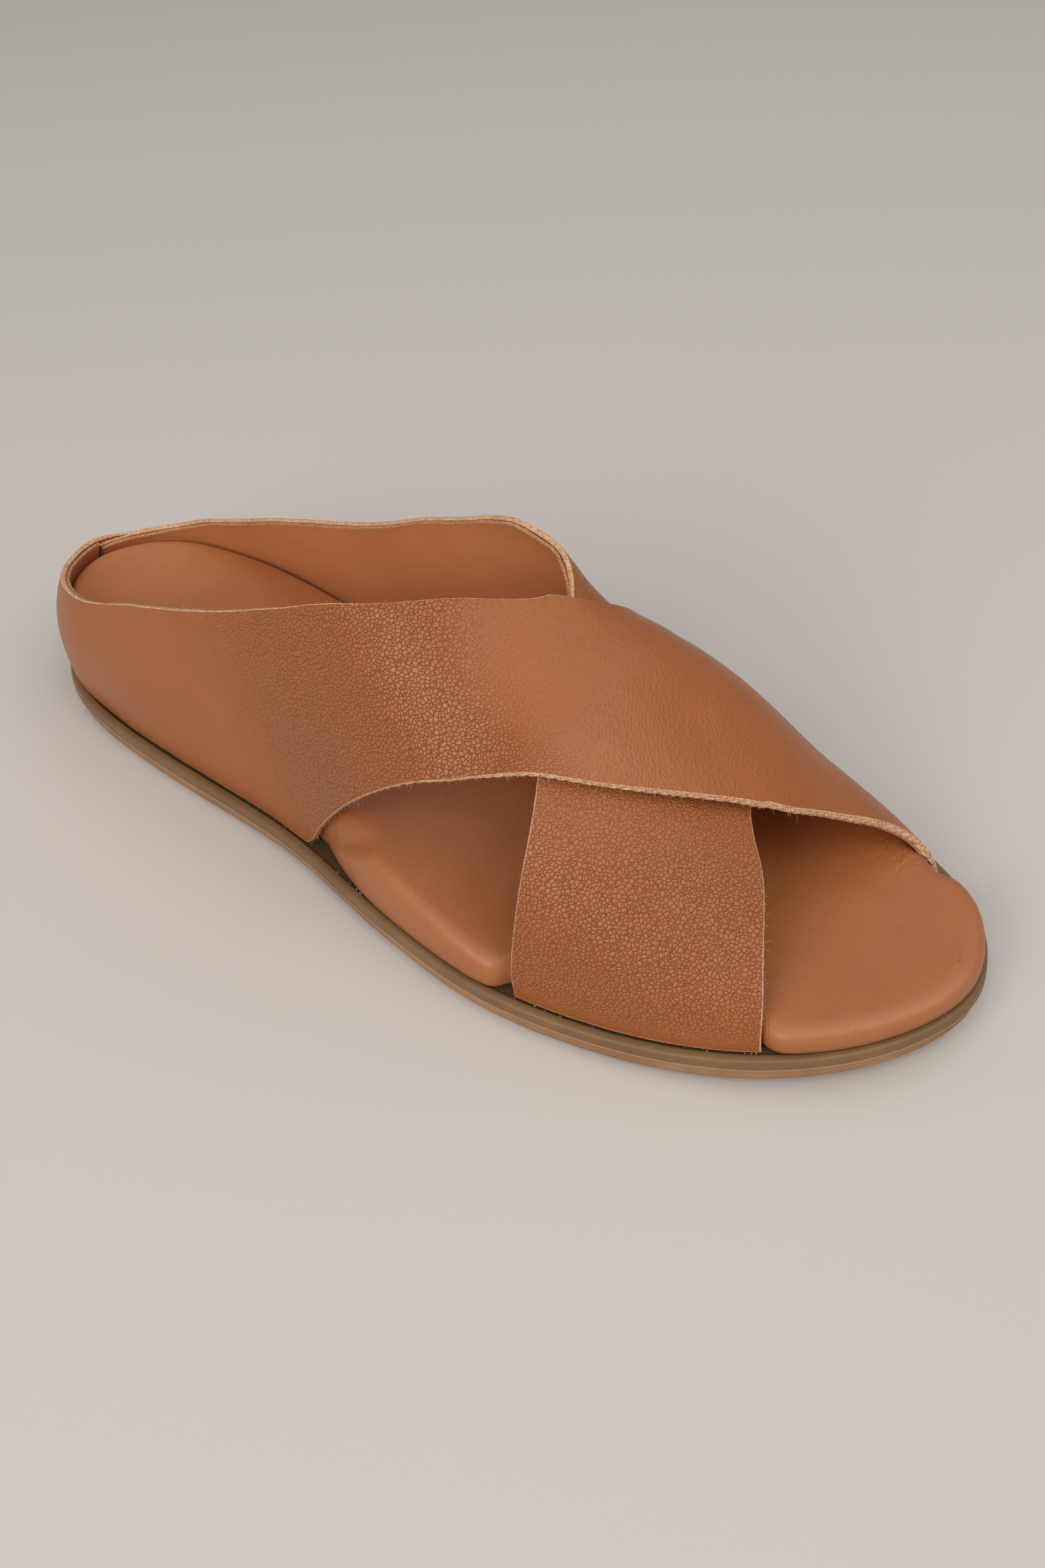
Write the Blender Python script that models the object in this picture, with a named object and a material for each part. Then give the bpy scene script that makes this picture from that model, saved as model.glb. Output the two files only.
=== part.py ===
"""A cross strap sandal for the right foot, worked out from a few named sizes.

Lengths are in metres. The tables hold shares of the named sizes, a row per section. +X runs from the
heel to the toe, +Y to the medial side and +Z up. The sole rests on z = 0 with its outline centred.
"""

import math

import bmesh
import bpy
import numpy as np

MM = 0.001

# Driving sizes of the shoe.
LENGTH = 251.5 * MM  # outsole, heel to toe
BALL = 90 * MM  # outsole, widest part of the forefoot
INSTEP = 88 * MM  # top of the straps' surface over the waist, above the ground
HEEL_CENTRE = 52.5 * MM  # where the heel's radial ribs meet, from the heel's back
SOLE = 6.45 * MM  # outsole thickness
TOE_SPRING = 5.5 * MM  # lift of the outsole's tip
HEEL_SPRING = 1.0 * MM  # lift of the outsole's back edge
WAIST_RELIEF = 0.6 * MM  # how far the underside clears the ground at the arch
LEDGE = 2.5 * MM  # outsole beyond the leather
HEEL_LEDGE = 0.8 * MM  # the same at the heel's back
WALL = 2.2 * MM  # strap, leather and lining bonded together
GAP = 0.3 * MM  # between pieces that touch
BOND = 0.7 * MM  # depth to which the upper strap is bonded into the under strap
LIFT = 0.35 * MM  # clearance of the upper strap round the bonded area
SEAM_STEP = 1.3 * MM  # outward step of the lapped back seam
HEEL_HEIGHT = 23 * MM  # collar above the outsole at the heel's back
HEEL_LEAN = (0.15, 0.045)  # inward lean at that height, at the heel's back and at its centre
HEEL_BULGE = 1.9 * MM  # how far the quarters swell out round the heel
SIDE_POWER = 2.5  # fullness of the section across the foot
TOP_POWER = 2.1  # fullness of the section over the instep

# The outsole's outline, clockwise from the heel: station / LENGTH, reach / BALL (medial is positive).
OUTLINE = (
    (0.000, 0.006),
    (0.010, 0.115),
    (0.038, 0.218),
    (0.084, 0.295),
    (0.147, 0.328),
    (0.229, 0.333),
    (0.388, 0.312),
    (0.526, 0.337),
    (0.645, 0.430),
    (0.745, 0.503),
    (0.834, 0.490),
    (0.912, 0.403),
    (0.973, 0.263),
    (1.000, 0.083),
    (0.988, -0.078),
    (0.941, -0.247),
    (0.866, -0.388),
    (0.767, -0.482),
    (0.646, -0.522),
    (0.526, -0.477),
    (0.388, -0.391),
    (0.229, -0.352),
    (0.150, -0.325),
    (0.088, -0.284),
    (0.040, -0.212),
    (0.010, -0.112),
)

# The surface the straps lie on: station / LENGTH, top of the over strap and of the under strap
# / INSTEP, sideways shift of the top / BALL.
TOP = (
    (0.000, 0.980, 0.980, 0.000),
    (0.228, 1.000, 1.000, 0.000),
    (0.348, 1.000, 1.020, 0.010),
    (0.427, 0.980, 1.050, 0.020),
    (0.507, 0.900, 1.030, 0.030),
    (0.547, 0.840, 0.950, 0.045),
    (0.568, 0.810, 0.885, 0.052),
    (0.587, 0.775, 0.820, 0.058),
    (0.621, 0.720, 0.725, 0.060),
    (0.666, 0.660, 0.640, 0.058),
    (0.745, 0.510, 0.490, 0.050),
    (0.825, 0.370, 0.360, 0.035),
    (0.905, 0.280, 0.280, 0.015),
    (1.000, 0.220, 0.220, 0.000),
)

# The over strap, from the back seam round the lateral quarter to the medial toe. Each row: station
# / LENGTH and girth share of the front edge, then of the back edge. Girth runs from 0 at the
# quarter's own foot line, over the top at a half, to 1 at the other side's foot line.
OVER_STRAP = (
    (-0.035, 0.000, -0.035, 0.088),
    (0.000, 0.000, 0.000, 0.088),
    (0.058, 0.000, 0.058, 0.091),
    (0.116, 0.000, 0.118, 0.107),
    (0.183, 0.000, 0.188, 0.145),
    (0.253, 0.000, 0.268, 0.178),
    (0.323, 0.000, 0.339, 0.213),
    (0.379, 0.000, 0.404, 0.257),
    (0.412, 0.000, 0.450, 0.300),
    (0.424, 0.006, 0.483, 0.336),
    (0.439, 0.029, 0.505, 0.368),
    (0.477, 0.083, 0.525, 0.403),
    (0.517, 0.137, 0.542, 0.436),
    (0.559, 0.195, 0.559, 0.465),
    (0.593, 0.240, 0.575, 0.490),
    (0.636, 0.293, 0.592, 0.520),
    (0.687, 0.356, 0.608, 0.562),
    (0.743, 0.431, 0.618, 0.615),
    (0.783, 0.489, 0.622, 0.675),
    (0.824, 0.562, 0.622, 0.745),
    (0.858, 0.659, 0.622, 0.825),
    (0.887, 0.790, 0.624, 0.910),
    (0.906, 0.900, 0.626, 0.960),
    (0.919, 1.000, 0.628, 1.000),
)

# The under strap, from the back seam round the medial quarter to the lateral forefoot.
UNDER_STRAP = (
    (0.010, 0.000, 0.010, 0.088),
    (0.058, 0.000, 0.062, 0.090),
    (0.116, 0.000, 0.125, 0.114),
    (0.183, 0.000, 0.193, 0.143),
    (0.253, 0.000, 0.256, 0.166),
    (0.323, 0.000, 0.332, 0.194),
    (0.394, 0.000, 0.394, 0.220),
    (0.455, 0.000, 0.445, 0.240),
    (0.500, 0.000, 0.480, 0.258),
    (0.525, 0.010, 0.508, 0.275),
    (0.556, 0.038, 0.530, 0.290),
    (0.591, 0.080, 0.548, 0.315),
    (0.626, 0.135, 0.562, 0.350),
    (0.662, 0.205, 0.580, 0.405),
    (0.702, 0.305, 0.602, 0.490),
    (0.742, 0.410, 0.624, 0.570),
    (0.773, 0.470, 0.643, 0.635),
    (0.798, 0.515, 0.657, 0.690),
    (0.820, 0.555, 0.666, 0.750),
    (0.836, 0.605, 0.670, 0.805),
    (0.854, 0.696, 0.673, 0.870),
    (0.867, 0.792, 0.674, 0.925),
    (0.874, 0.885, 0.675, 0.965),
    (0.878, 1.000, 0.677, 1.000),
)

# The outsole's side, from its underside to its top: inset, height / SOLE.
SOLE_SIDE = (
    (1.3 * MM, 0.000),
    (0.8 * MM, 0.050),
    (0.6 * MM, 0.140),
    (0.6 * MM, 0.450),
    (1.0 * MM, 0.480),
    (1.0 * MM, 0.510),
    (0.15 * MM, 0.540),
    (0.0 * MM, 0.600),
    (0.0 * MM, 0.900),
    (0.4 * MM, 0.985),
    (1.0 * MM, 1.000),
)

# The footbed: station / LENGTH, rise of its underside above the outsole / SOLE, thickness / SOLE,
# depth of the dish in its top / SOLE.
FOOTBED = (
    (0.000, 2.05, 1.35, 0.10),
    (0.111, 2.00, 1.38, 0.36),
    (0.276, 1.72, 1.45, 0.32),
    (0.388, 1.12, 1.62, 0.16),
    (0.471, 0.70, 1.62, 0.08),
    (0.551, 0.48, 1.48, 0.08),
    (0.622, 0.30, 1.15, 0.10),
    (0.687, 0.05, 1.00, 0.12),
    (0.788, 0.05, 0.92, 0.14),
    (0.899, 0.05, 0.92, 0.10),
    (1.000, 0.05, 0.92, 0.00),
)

# How far the footbed's edge swells into the gaps between the straps: station / LENGTH, swell on
# the lateral side and on the medial side / WALL.
SWELL = (
    (0.000, 0.00, 0.00),
    (0.412, 0.00, 0.00),
    (0.433, 0.00, 0.00),
    (0.455, 0.60, 0.00),
    (0.480, 1.20, 0.00),
    (0.535, 1.30, 0.00),
    (0.565, 1.30, 0.40),
    (0.590, 1.30, 0.60),
    (0.621, 1.25, 0.20),
    (0.642, 0.90, 0.00),
    (0.660, 0.15, 0.00),
    (0.672, 0.00, 0.00),
    (0.888, 0.00, 0.00),
    (0.900, 0.50, 0.00),
    (0.916, 1.15, 0.00),
    (0.932, 1.35, 0.10),
    (0.950, 1.45, 1.20),
    (1.000, 1.45, 1.45),
)

WEDGE_FRONT = 0.614  # station of the wedge's front end / LENGTH
SIDE_STEPS = 46  # steps along each side of the outline


def column(table, index, at):
    """One column of a table at the given stations, by a cubic that never overshoots its rows."""
    rows = np.asarray(table, dtype=float)
    x, y = rows[:, 0], rows[:, index]
    at = np.clip(np.asarray(at, dtype=float), x[0], x[-1])
    step = np.diff(x)
    rise = np.diff(y) / step
    slope = np.concatenate([[rise[0]], 0.5 * (rise[1:] + rise[:-1]), [rise[-1]]])
    flat = rise[1:] * rise[:-1] <= 0
    slope[1:-1][flat] = 0.0
    limit = 3 * np.minimum(np.abs(np.append(rise, rise[-1])), np.abs(np.insert(rise, 0, rise[0])))
    slope = np.clip(slope, -limit, limit)
    k = np.clip(np.searchsorted(x, at, side="right") - 1, 0, len(step) - 1)
    t = (at - x[k]) / step[k]
    return (
        y[k] * (1 + 2 * t) * (1 - t) ** 2
        + y[k + 1] * t * t * (3 - 2 * t)
        + step[k] * (slope[k] * t * (1 - t) ** 2 + slope[k + 1] * t * t * (t - 1))
    )


def ease(value):
    """0 below 0, 1 above 1 and a smooth step between."""
    value = np.clip(value, 0.0, 1.0)
    return value * value * (3 - 2 * value)


def closed_curve(points, count):
    """A smooth closed curve through the points, at evenly spaced places."""
    points = np.asarray(points, dtype=float)
    before, after, last = (np.roll(points, shift, axis=0) for shift in (1, -1, -2))
    t = np.linspace(0, 1, 48, endpoint=False)[None, :, None]
    p0, p1, p2, p3 = (p[:, None, :] for p in (before, points, after, last))
    curve = 0.5 * (
        2 * p1
        + (p2 - p0) * t
        + (2 * p0 - 5 * p1 + 4 * p2 - p3) * t**2
        + (3 * p1 - p0 - 3 * p2 + p3) * t**3
    )
    curve = curve.reshape(-1, 2)
    ring = np.vstack([curve, curve[:1]])
    arc = np.append(0, np.cumsum(np.hypot(*np.diff(ring, axis=0).T)))
    at = np.linspace(0, arc[-1], count, endpoint=False)
    return np.stack([np.interp(at, arc, ring[:, k]) for k in (0, 1)], axis=1)


def outward(ring):
    """Unit normals of a clockwise ring, pointing outward."""
    along = np.roll(ring, -1, axis=0) - np.roll(ring, 1, axis=0)
    along /= np.hypot(along[:, 0], along[:, 1])[:, None]
    return np.stack([-along[:, 1], along[:, 0]], axis=1)


def toe_lift(x):
    """How far the outsole's top is lifted at this distance from the heel's back."""
    toe = np.clip((x / LENGTH - 0.667) / 0.333, 0, 1)
    heel = np.clip(1 - x / (0.07 * LENGTH), 0, 1)
    return TOE_SPRING * toe**2 + HEEL_SPRING * heel**2


def ledge(x):
    """How far the outsole stands out beyond the leather."""
    return HEEL_LEDGE + (LEDGE - HEEL_LEDGE) * ease((x / LENGTH - 0.02) / 0.11)


def wall_lean(x, height):
    """How far the quarters' wall leans in at a height above the outsole."""
    lean = np.interp(x, [0, HEEL_CENTRE, 0.4 * LENGTH], [*HEEL_LEAN, 0.0])
    bulge = HEEL_BULGE * ease(1.5 - x / HEEL_CENTRE)
    share = np.clip(height / (1.5 * HEEL_HEIGHT), 0, 1)
    return lean * height**2 / HEEL_HEIGHT - bulge * np.sin(math.pi * share)


def waist(x):
    """How far the underside clears the ground between the heel and the forefoot."""
    share = x / LENGTH
    return WAIST_RELIEF * ease((share - 0.30) / 0.08) * ease((0.56 - share) / 0.08)


class Plan:
    """The outline, its two sides and the places on them."""

    def __init__(self):
        table = np.asarray(OUTLINE) * (LENGTH, BALL)
        self.outline = closed_curve(table, 1440)
        low, high = self.outline.min(axis=0), self.outline.max(axis=0)
        self.centre = 0.5 * (low + high)
        self.outline[:, 0] -= low[0]
        self.centre[0] -= low[0]
        self.normal = outward(self.outline)
        foot = self.outline - self.normal * ledge(self.outline[:, :1])
        heel, toe = np.argmin(foot[:, 0]), np.argmax(foot[:, 0])
        self.medial = self.side(foot, heel, toe, 1)
        self.lateral = self.side(foot, heel, toe, -1)

    @staticmethod
    def side(foot, heel, toe, step):
        """The foot line from the heel to the toe on one side, with each point's station."""
        count = (toe - heel) % len(foot) if step > 0 else (heel - toe) % len(foot)
        line = foot[(heel + step * np.arange(count + 1)) % len(foot)]
        arc = np.append(0, np.cumsum(np.hypot(*np.diff(line, axis=0).T)))
        past = np.argmax(line[:, 0] > HEEL_CENTRE)
        station = np.where(np.arange(len(line)) < past, arc / arc[past] * HEEL_CENTRE, line[:, 0])
        return station, line

    def foot_line(self, lateral, station):
        """The point of the foot line at a station, which goes on round the heel below 0."""
        own, other = (self.lateral, self.medial) if lateral else (self.medial, self.lateral)
        result = []
        for k in (0, 1):
            ahead = np.interp(station, own[0], own[1][:, k])
            behind = np.interp(-station, other[0], other[1][:, k])
            result.append(np.where(station >= 0, ahead, behind))
        return np.stack(result, axis=-1)

    def ring(self, inset):
        """A closed ring of paired points, inset from the outline: heel, medial side, toe, lateral
        side. Both sides have SIDE_STEPS steps, so that point i faces point -i."""
        heel, toe = np.argmin(self.outline[:, 0]), np.argmax(self.outline[:, 0])
        rows = []
        for start, stop in ((heel, toe), (toe, heel)):
            count = (stop - start) % len(self.outline)
            place = (start + np.linspace(0, count, SIDE_STEPS, endpoint=False)) % len(self.outline)
            rows.append(place.astype(int))
        place = np.concatenate(rows)
        points, normal = self.outline[place], self.normal[place]
        depth = inset(points[:, 0], np.arange(len(place)) > SIDE_STEPS) if callable(inset) else inset
        return points - normal * np.reshape(depth, (-1, 1))


def strap_surface(plan, lateral, station, girth, offset=0.0, over=True):
    """Points at a station and a girth share, moved outward by the offset along the normal."""

    def place(s, g):
        top = column(TOP, 1 if over else 2, s / LENGTH) * INSTEP
        shift = column(TOP, 3, s / LENGTH) * BALL
        near = plan.foot_line(lateral, s)
        far = plan.foot_line(not lateral, s)
        foot = np.where((g < 0.5)[..., None], near, far)
        angle = math.pi * np.clip(g, 0, 1)
        side = np.abs(np.cos(angle)) ** (2 / SIDE_POWER)
        rise = np.sin(angle) ** (2 / TOP_POWER)
        low = SOLE + GAP + toe_lift(foot[..., 0])
        height = (top - low) * rise
        hub = np.stack([np.maximum(s, HEEL_CENTRE), shift], axis=-1)
        spoke = foot - hub
        reach = np.hypot(spoke[..., 0], spoke[..., 1])
        scale = side * (1 - wall_lean(s, height) / reach)
        flat = hub + spoke * scale[..., None]
        return np.concatenate([flat, (low + height)[..., None]], axis=-1)

    station, girth = np.broadcast_arrays(np.asarray(station, float), np.asarray(girth, float))
    points = place(station, girth)
    ds, dg = 0.4 * MM, 0.004
    along = place(station + ds, girth) - place(station - ds, girth)
    up_from, up_to = np.clip(girth - dg, 0, 1), np.clip(girth + dg, 0, 1)
    across = place(station, up_to) - place(station, up_from)
    normal = np.cross(along, across) if lateral else np.cross(across, along)
    normal /= np.linalg.norm(normal, axis=-1, keepdims=True)
    moved = points + normal * np.reshape(offset, np.shape(girth) + (1,))
    foot = SOLE + GAP + toe_lift(moved[..., 0])
    moved[..., 2] = np.maximum(moved[..., 2], foot)
    return moved


def strap_map(table, rows, columns):
    """Stations and girth shares of a grid from a strap's front edge to its back edge."""
    table = np.asarray(table, dtype=float)
    middle = 0.5 * (table[:, 0:2] + table[:, 2:4]) * (1.0, 0.5)
    arc = np.append(0, np.cumsum(np.hypot(*np.diff(middle, axis=0).T)))
    keyed = np.column_stack([arc / arc[-1], table])
    at = np.linspace(0, 1, rows)
    edges = [column(keyed, k, at)[:, None] for k in (1, 2, 3, 4)]
    across = np.linspace(0, 1, columns)[None, :]
    station = (edges[0] * (1 - across) + edges[2] * across) * LENGTH
    girth = edges[1] * (1 - across) + edges[3] * across
    return station, girth


def depth_inside(points, border):
    """Signed distance of plane points from a closed border, positive inside."""
    a, b = border, np.roll(border, -1, axis=0)
    edge = b - a
    away = points[:, None, :] - a[None]
    share = np.clip((away * edge).sum(-1) / np.maximum((edge**2).sum(-1), 1e-12), 0, 1)
    distance = np.linalg.norm(away - edge * share[..., None], axis=-1).min(axis=1)
    above = (a[None, :, 1] > points[:, None, 1]) != (b[None, :, 1] > points[:, None, 1])
    safe = np.where(np.abs(edge[:, 1]) < 1e-12, 1e-12, edge[:, 1])
    cross = a[None, :, 0] + (points[:, None, 1] - a[None, :, 1]) / safe * edge[None, :, 0]
    inside = (above & (points[:, None, 0] < cross)).sum(axis=1) % 2 == 1
    return np.where(inside, distance, -distance)


def over_offset(station, girth):
    """How far the over strap stands off its surface: it rides over the under strap, is bonded into
    it in the middle of the crossing, and laps over the back seam."""
    girth_span = 1.35 * BALL
    s, g = strap_map(UNDER_STRAP, 60, 2)
    front = np.stack([s[:, 0], (1 - g[:, 0]) * girth_span], axis=1)
    back = np.stack([s[:, 1], (1 - g[:, 1]) * girth_span], axis=1)
    border = np.vstack([front, back[::-1]])
    points = np.stack([station.ravel(), girth.ravel() * girth_span], axis=1)
    inside = depth_inside(points, border).reshape(station.shape)
    ride = (WALL + LIFT) * ease((inside + 15 * MM) / (15 * MM))
    own_front, own_back = strap_map(OVER_STRAP, 60, 2)
    own_front, own_back = (
        np.stack([own_front[:, k], own_back[:, k] * girth_span], axis=1) for k in (0, 1)
    )
    own = depth_inside(points, np.vstack([own_front, own_back[::-1]])).reshape(station.shape)
    bond = ease((np.minimum(inside, own) - 5 * MM) / (6 * MM))
    seam = SEAM_STEP * ease((0.030 - station / LENGTH) / 0.040)
    return ride - (BOND + LIFT) * bond + seam


def solid(name, points, faces, material):
    """An object from points and faces, moved so that the outline is centred on the origin."""
    mesh = bpy.data.meshes.new(name)
    mesh.from_pydata(points.tolist(), [], faces)
    shape = bmesh.new()
    shape.from_mesh(mesh)
    bmesh.ops.recalc_face_normals(shape, faces=shape.faces)
    shape.to_mesh(mesh)
    shape.free()
    mesh.materials.append(material)
    obj = bpy.data.objects.new(name, mesh)
    bpy.context.scene.collection.objects.link(obj)
    return obj


def finish(obj, angle=35):
    """Smooth shading that stays crisp on edges sharper than the angle."""
    obj.data.shade_smooth()
    obj.data.set_sharp_from_angle(angle=math.radians(angle))


def strap(name, plan, lateral, table, rows, columns, over, material):
    """One strap as a closed shell: an outer grid, an inner grid and the cut edges between them."""
    station, girth = strap_map(table, rows, columns)
    offset = over_offset(station, girth) if over else np.zeros_like(station)
    outer = strap_surface(plan, lateral, station, girth, offset, over)
    inner = strap_surface(plan, lateral, station, girth, offset - WALL, over)
    points = np.concatenate([outer.reshape(-1, 3), inner.reshape(-1, 3)])
    points[:, :2] -= plan.centre
    count = rows * columns
    faces = []
    for i in range(rows - 1):
        for j in range(columns - 1):
            a = i * columns + j
            quad = (a, a + 1, a + columns + 1, a + columns)
            faces.append(quad)
            faces.append(tuple(count + k for k in reversed(quad)))
    rim = [(i, 0) for i in range(rows)]
    rim += [(rows - 1, j) for j in range(1, columns)]
    rim += [(i, columns - 1) for i in range(rows - 2, -1, -1)]
    rim += [(0, j) for j in range(columns - 2, 0, -1)]
    rim = [i * columns + j for i, j in rim]
    for a, b in zip(rim, rim[1:] + rim[:1]):
        faces.append((a, b, b + count, a + count))
    return solid(name, points, faces, material)


def joined(name, first, second):
    """Both shells as one solid."""
    union = first.modifiers.new("crossing", "BOOLEAN")
    union.operation = "UNION"
    union.solver = "EXACT"
    union.object = second
    graph = bpy.context.evaluated_depsgraph_get()
    mesh = bpy.data.meshes.new_from_object(first.evaluated_get(graph))
    mesh.name = name
    result = bpy.data.objects.new(name, mesh)
    for old in (first, second):
        bpy.data.objects.remove(old)
    bpy.context.scene.collection.objects.link(result)
    return result


def stack(name, plan, rings, material, top=None, bottom=None, across=8):
    """A solid from rings that share their count, lowest first. Caps run straight across between
    facing points. A cap with its own height function has inner points."""
    half = SIDE_STEPS
    count = 2 * half
    points = [np.asarray(ring, dtype=float) for ring in rings]
    faces = []
    for level in range(len(rings) - 1):
        for i in range(count):
            j = (i + 1) % count
            a = level * count
            faces.append((a + i, a + j, a + count + j, a + count + i))
    size = len(rings) * count
    for level, height in ((0, bottom), (len(rings) - 1, top)):
        base = level * count
        ring = points[level]
        pairs = [(base + i, base + (count - i) % count) for i in range(half + 1)]
        if height is None:
            rungs = [list(pair) for pair in pairs]
            rungs[0], rungs[-1] = [pairs[0][0]], [pairs[-1][0]]
        else:
            rungs = [[pairs[0][0]]]
            for i in range(1, half):
                share = np.linspace(0, 1, across + 1)[1:-1, None]
                start, stop = ring[i], ring[count - i]
                inner = start * (1 - share) + stop * share
                inner[:, 2] = height(inner[:, 0], share[:, 0], inner[:, 2])
                rungs.append([pairs[i][0], *range(size, size + len(inner)), pairs[i][1]])
                size += len(inner)
                points.append(inner)
            rungs.append([pairs[-1][0]])
        for low, high in zip(rungs, rungs[1:]):
            if len(low) == 1:
                faces += [(low[0], a, b) for a, b in zip(high, high[1:])]
            elif len(high) == 1:
                faces += [(high[0], b, a) for a, b in zip(low, low[1:])]
            else:
                steps = zip(low, low[1:], high, high[1:])
                faces += [(a, b, d, c) for a, b, c, d in steps]
    points = np.concatenate(points)
    points[:, :2] -= plan.centre
    return solid(name, points, faces, material)


def outsole(plan, material):
    rings = []
    for inset, share in SOLE_SIDE:
        flat = plan.ring(inset)
        low = waist(flat[:, 0]) * max(0.0, 1 - share / 0.3)
        z = share * SOLE + toe_lift(flat[:, 0]) + low
        rings.append(np.column_stack([flat, z]))
    return stack("outsole", plan, rings, material)


def inner_inset(x, height):
    """How far in a piece inside the quarters stays, at a height above the outsole."""
    return ledge(x) + WALL + 1.5 * GAP + wall_lean(x, height) + 0.045 * height


def footbed_heights(x):
    """Underside, top edge and dish of the footbed, at a distance from the heel's back."""
    share = x / LENGTH
    low = SOLE + GAP + toe_lift(x) + np.maximum(column(FOOTBED, 1, share) - 0.05, 0) * SOLE
    return low, low + column(FOOTBED, 2, share) * SOLE, column(FOOTBED, 3, share) * SOLE


def swell(x, lateral):
    """How far the footbed's edge comes out between the straps."""
    share = x / LENGTH
    return WALL * np.where(lateral, column(SWELL, 1, share), column(SWELL, 2, share))


def footbed(plan, material):
    # The padded side: inset beyond the edge, share of the thickness.
    side = ((1.1, 0.0), (0.2, 0.10), (0.0, 0.30), (0.0, 0.55), (0.5, 0.76), (1.7, 0.91), (3.8, 0.985))
    rings = []
    for extra, share in side:

        def inset(x, lateral, extra=extra, share=share):
            low, high, _ = footbed_heights(x)
            height = low + share * (high - low) - SOLE - toe_lift(x)
            return inner_inset(x, height) - swell(x, lateral) + extra * MM

        flat = plan.ring(inset)
        low, high, _ = footbed_heights(flat[:, 0])
        rings.append(np.column_stack([flat, low + share * (high - low)]))

    def dished(x, share, _):
        low, high, dish = footbed_heights(x)
        return high - dish * np.sin(math.pi * share) ** 0.8 + 0.015 * (high - low)

    def under(x, share, _):
        return footbed_heights(x)[0]

    return stack("footbed", plan, rings, material, top=dished, bottom=under, across=8)


def wedge(plan, material):
    """The filler under the footbed, from the heel's back to where the footbed meets the outsole."""
    front = WEDGE_FRONT * LENGTH
    inset = inner_inset(plan.ring(0.0)[:, 0], 2.0 * SOLE) + 1.2 * MM
    flat = plan.ring(lambda x, lateral: inset)
    half = SIDE_STEPS
    order = np.arange(half + 1)
    sides = []
    for index in (order, (2 * half - order) % (2 * half)):
        line = flat[index]
        keep = line[:, 0] <= front
        y = np.interp(front, line[: half - 4, 0], line[: half - 4, 1])
        line = np.vstack([line[keep], [front, y]])
        arc = np.append(0, np.cumsum(np.hypot(*np.diff(line, axis=0).T)))
        at = np.linspace(0, arc[-1], half)
        sides.append(np.stack([np.interp(at, arc, line[:, k]) for k in (0, 1)], axis=1))
    medial, lateral = sides
    nose = [[front + 2.5 * MM, 0.5 * (medial[-1, 1] + lateral[-1, 1])]]
    ring = np.vstack([medial, nose, lateral[:0:-1]])
    low = SOLE + GAP + toe_lift(ring[:, 0])
    high = footbed_heights(ring[:, 0])[0] - GAP
    rings = [np.column_stack([ring, low]), np.column_stack([ring, high])]

    def under_footbed(x, share, _):
        return footbed_heights(x)[0] - GAP

    def over_outsole(x, share, _):
        return SOLE + GAP + toe_lift(x)

    return stack(
        "midsole_wedge", plan, rings, material, top=under_footbed, bottom=over_outsole, across=2
    )


def upper(plan, material):
    over = strap("over_strap", plan, True, OVER_STRAP, 66, 13, True, material)
    under = strap("under_strap", plan, False, UNDER_STRAP, 62, 13, False, material)
    return joined("upper", over, under)


def material(name, colour, roughness, coat=0.0):
    made = bpy.data.materials.new(name)
    made.use_nodes = True
    shader = made.node_tree.nodes["Principled BSDF"]
    shader.inputs["Base Color"].default_value = (*colour, 1)
    shader.inputs["Roughness"].default_value = roughness
    shader.inputs["Coat Weight"].default_value = coat
    return made


def main():
    for obj in list(bpy.data.objects):
        bpy.data.objects.remove(obj)
    plan = Plan()
    leather = material("tan_leather", (0.36, 0.135, 0.05), 0.45, 0.1)
    lining = material("footbed_leather", (0.43, 0.17, 0.065), 0.42, 0.15)
    rubber = material("khaki_rubber", (0.17, 0.105, 0.05), 0.55)
    cork = material("dark_wedge", (0.08, 0.04, 0.02), 0.8)
    finish(outsole(plan, rubber), 30)
    finish(wedge(plan, cork), 30)
    finish(footbed(plan, lining), 50)
    finish(upper(plan, leather), 40)


main()
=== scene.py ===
"""Looks of a cross strap sandal for the right foot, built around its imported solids.

Lengths are in metres in the shoe's own frame: +X runs from the heel to the toe, +Y to the medial side
and +Z up, with the sole resting on z = 0. Tables hold shares of the named sizes.
"""

import logging
import math
from dataclasses import dataclass, field
from enum import Enum
from functools import reduce
from typing import Callable, Sequence

import bpy
import numpy as np
from mathutils import Matrix, Vector
from numpy.typing import NDArray


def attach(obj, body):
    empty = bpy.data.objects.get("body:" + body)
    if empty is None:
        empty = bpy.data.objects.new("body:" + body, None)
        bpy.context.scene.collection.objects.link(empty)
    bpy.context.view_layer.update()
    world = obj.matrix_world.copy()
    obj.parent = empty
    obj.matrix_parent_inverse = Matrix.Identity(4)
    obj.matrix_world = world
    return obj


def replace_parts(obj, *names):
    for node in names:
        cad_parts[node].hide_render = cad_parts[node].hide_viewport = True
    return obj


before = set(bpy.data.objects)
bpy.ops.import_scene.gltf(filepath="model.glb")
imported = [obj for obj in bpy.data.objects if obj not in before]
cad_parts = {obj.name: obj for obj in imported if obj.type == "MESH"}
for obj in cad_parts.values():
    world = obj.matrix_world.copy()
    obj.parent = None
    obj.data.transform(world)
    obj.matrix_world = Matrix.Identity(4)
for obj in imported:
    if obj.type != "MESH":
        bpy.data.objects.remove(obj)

Array = NDArray[np.float64]
Faces = NDArray[np.int64]
Colour = tuple[float, float, float]
Table = Sequence[Sequence[float]]
CapHeight = Callable[[Array, Array, Array, Array], Array]
Socket = bpy.types.NodeSocket

MM = 0.001
BODY = "root"
LOG = logging.getLogger("sandal")

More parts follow.
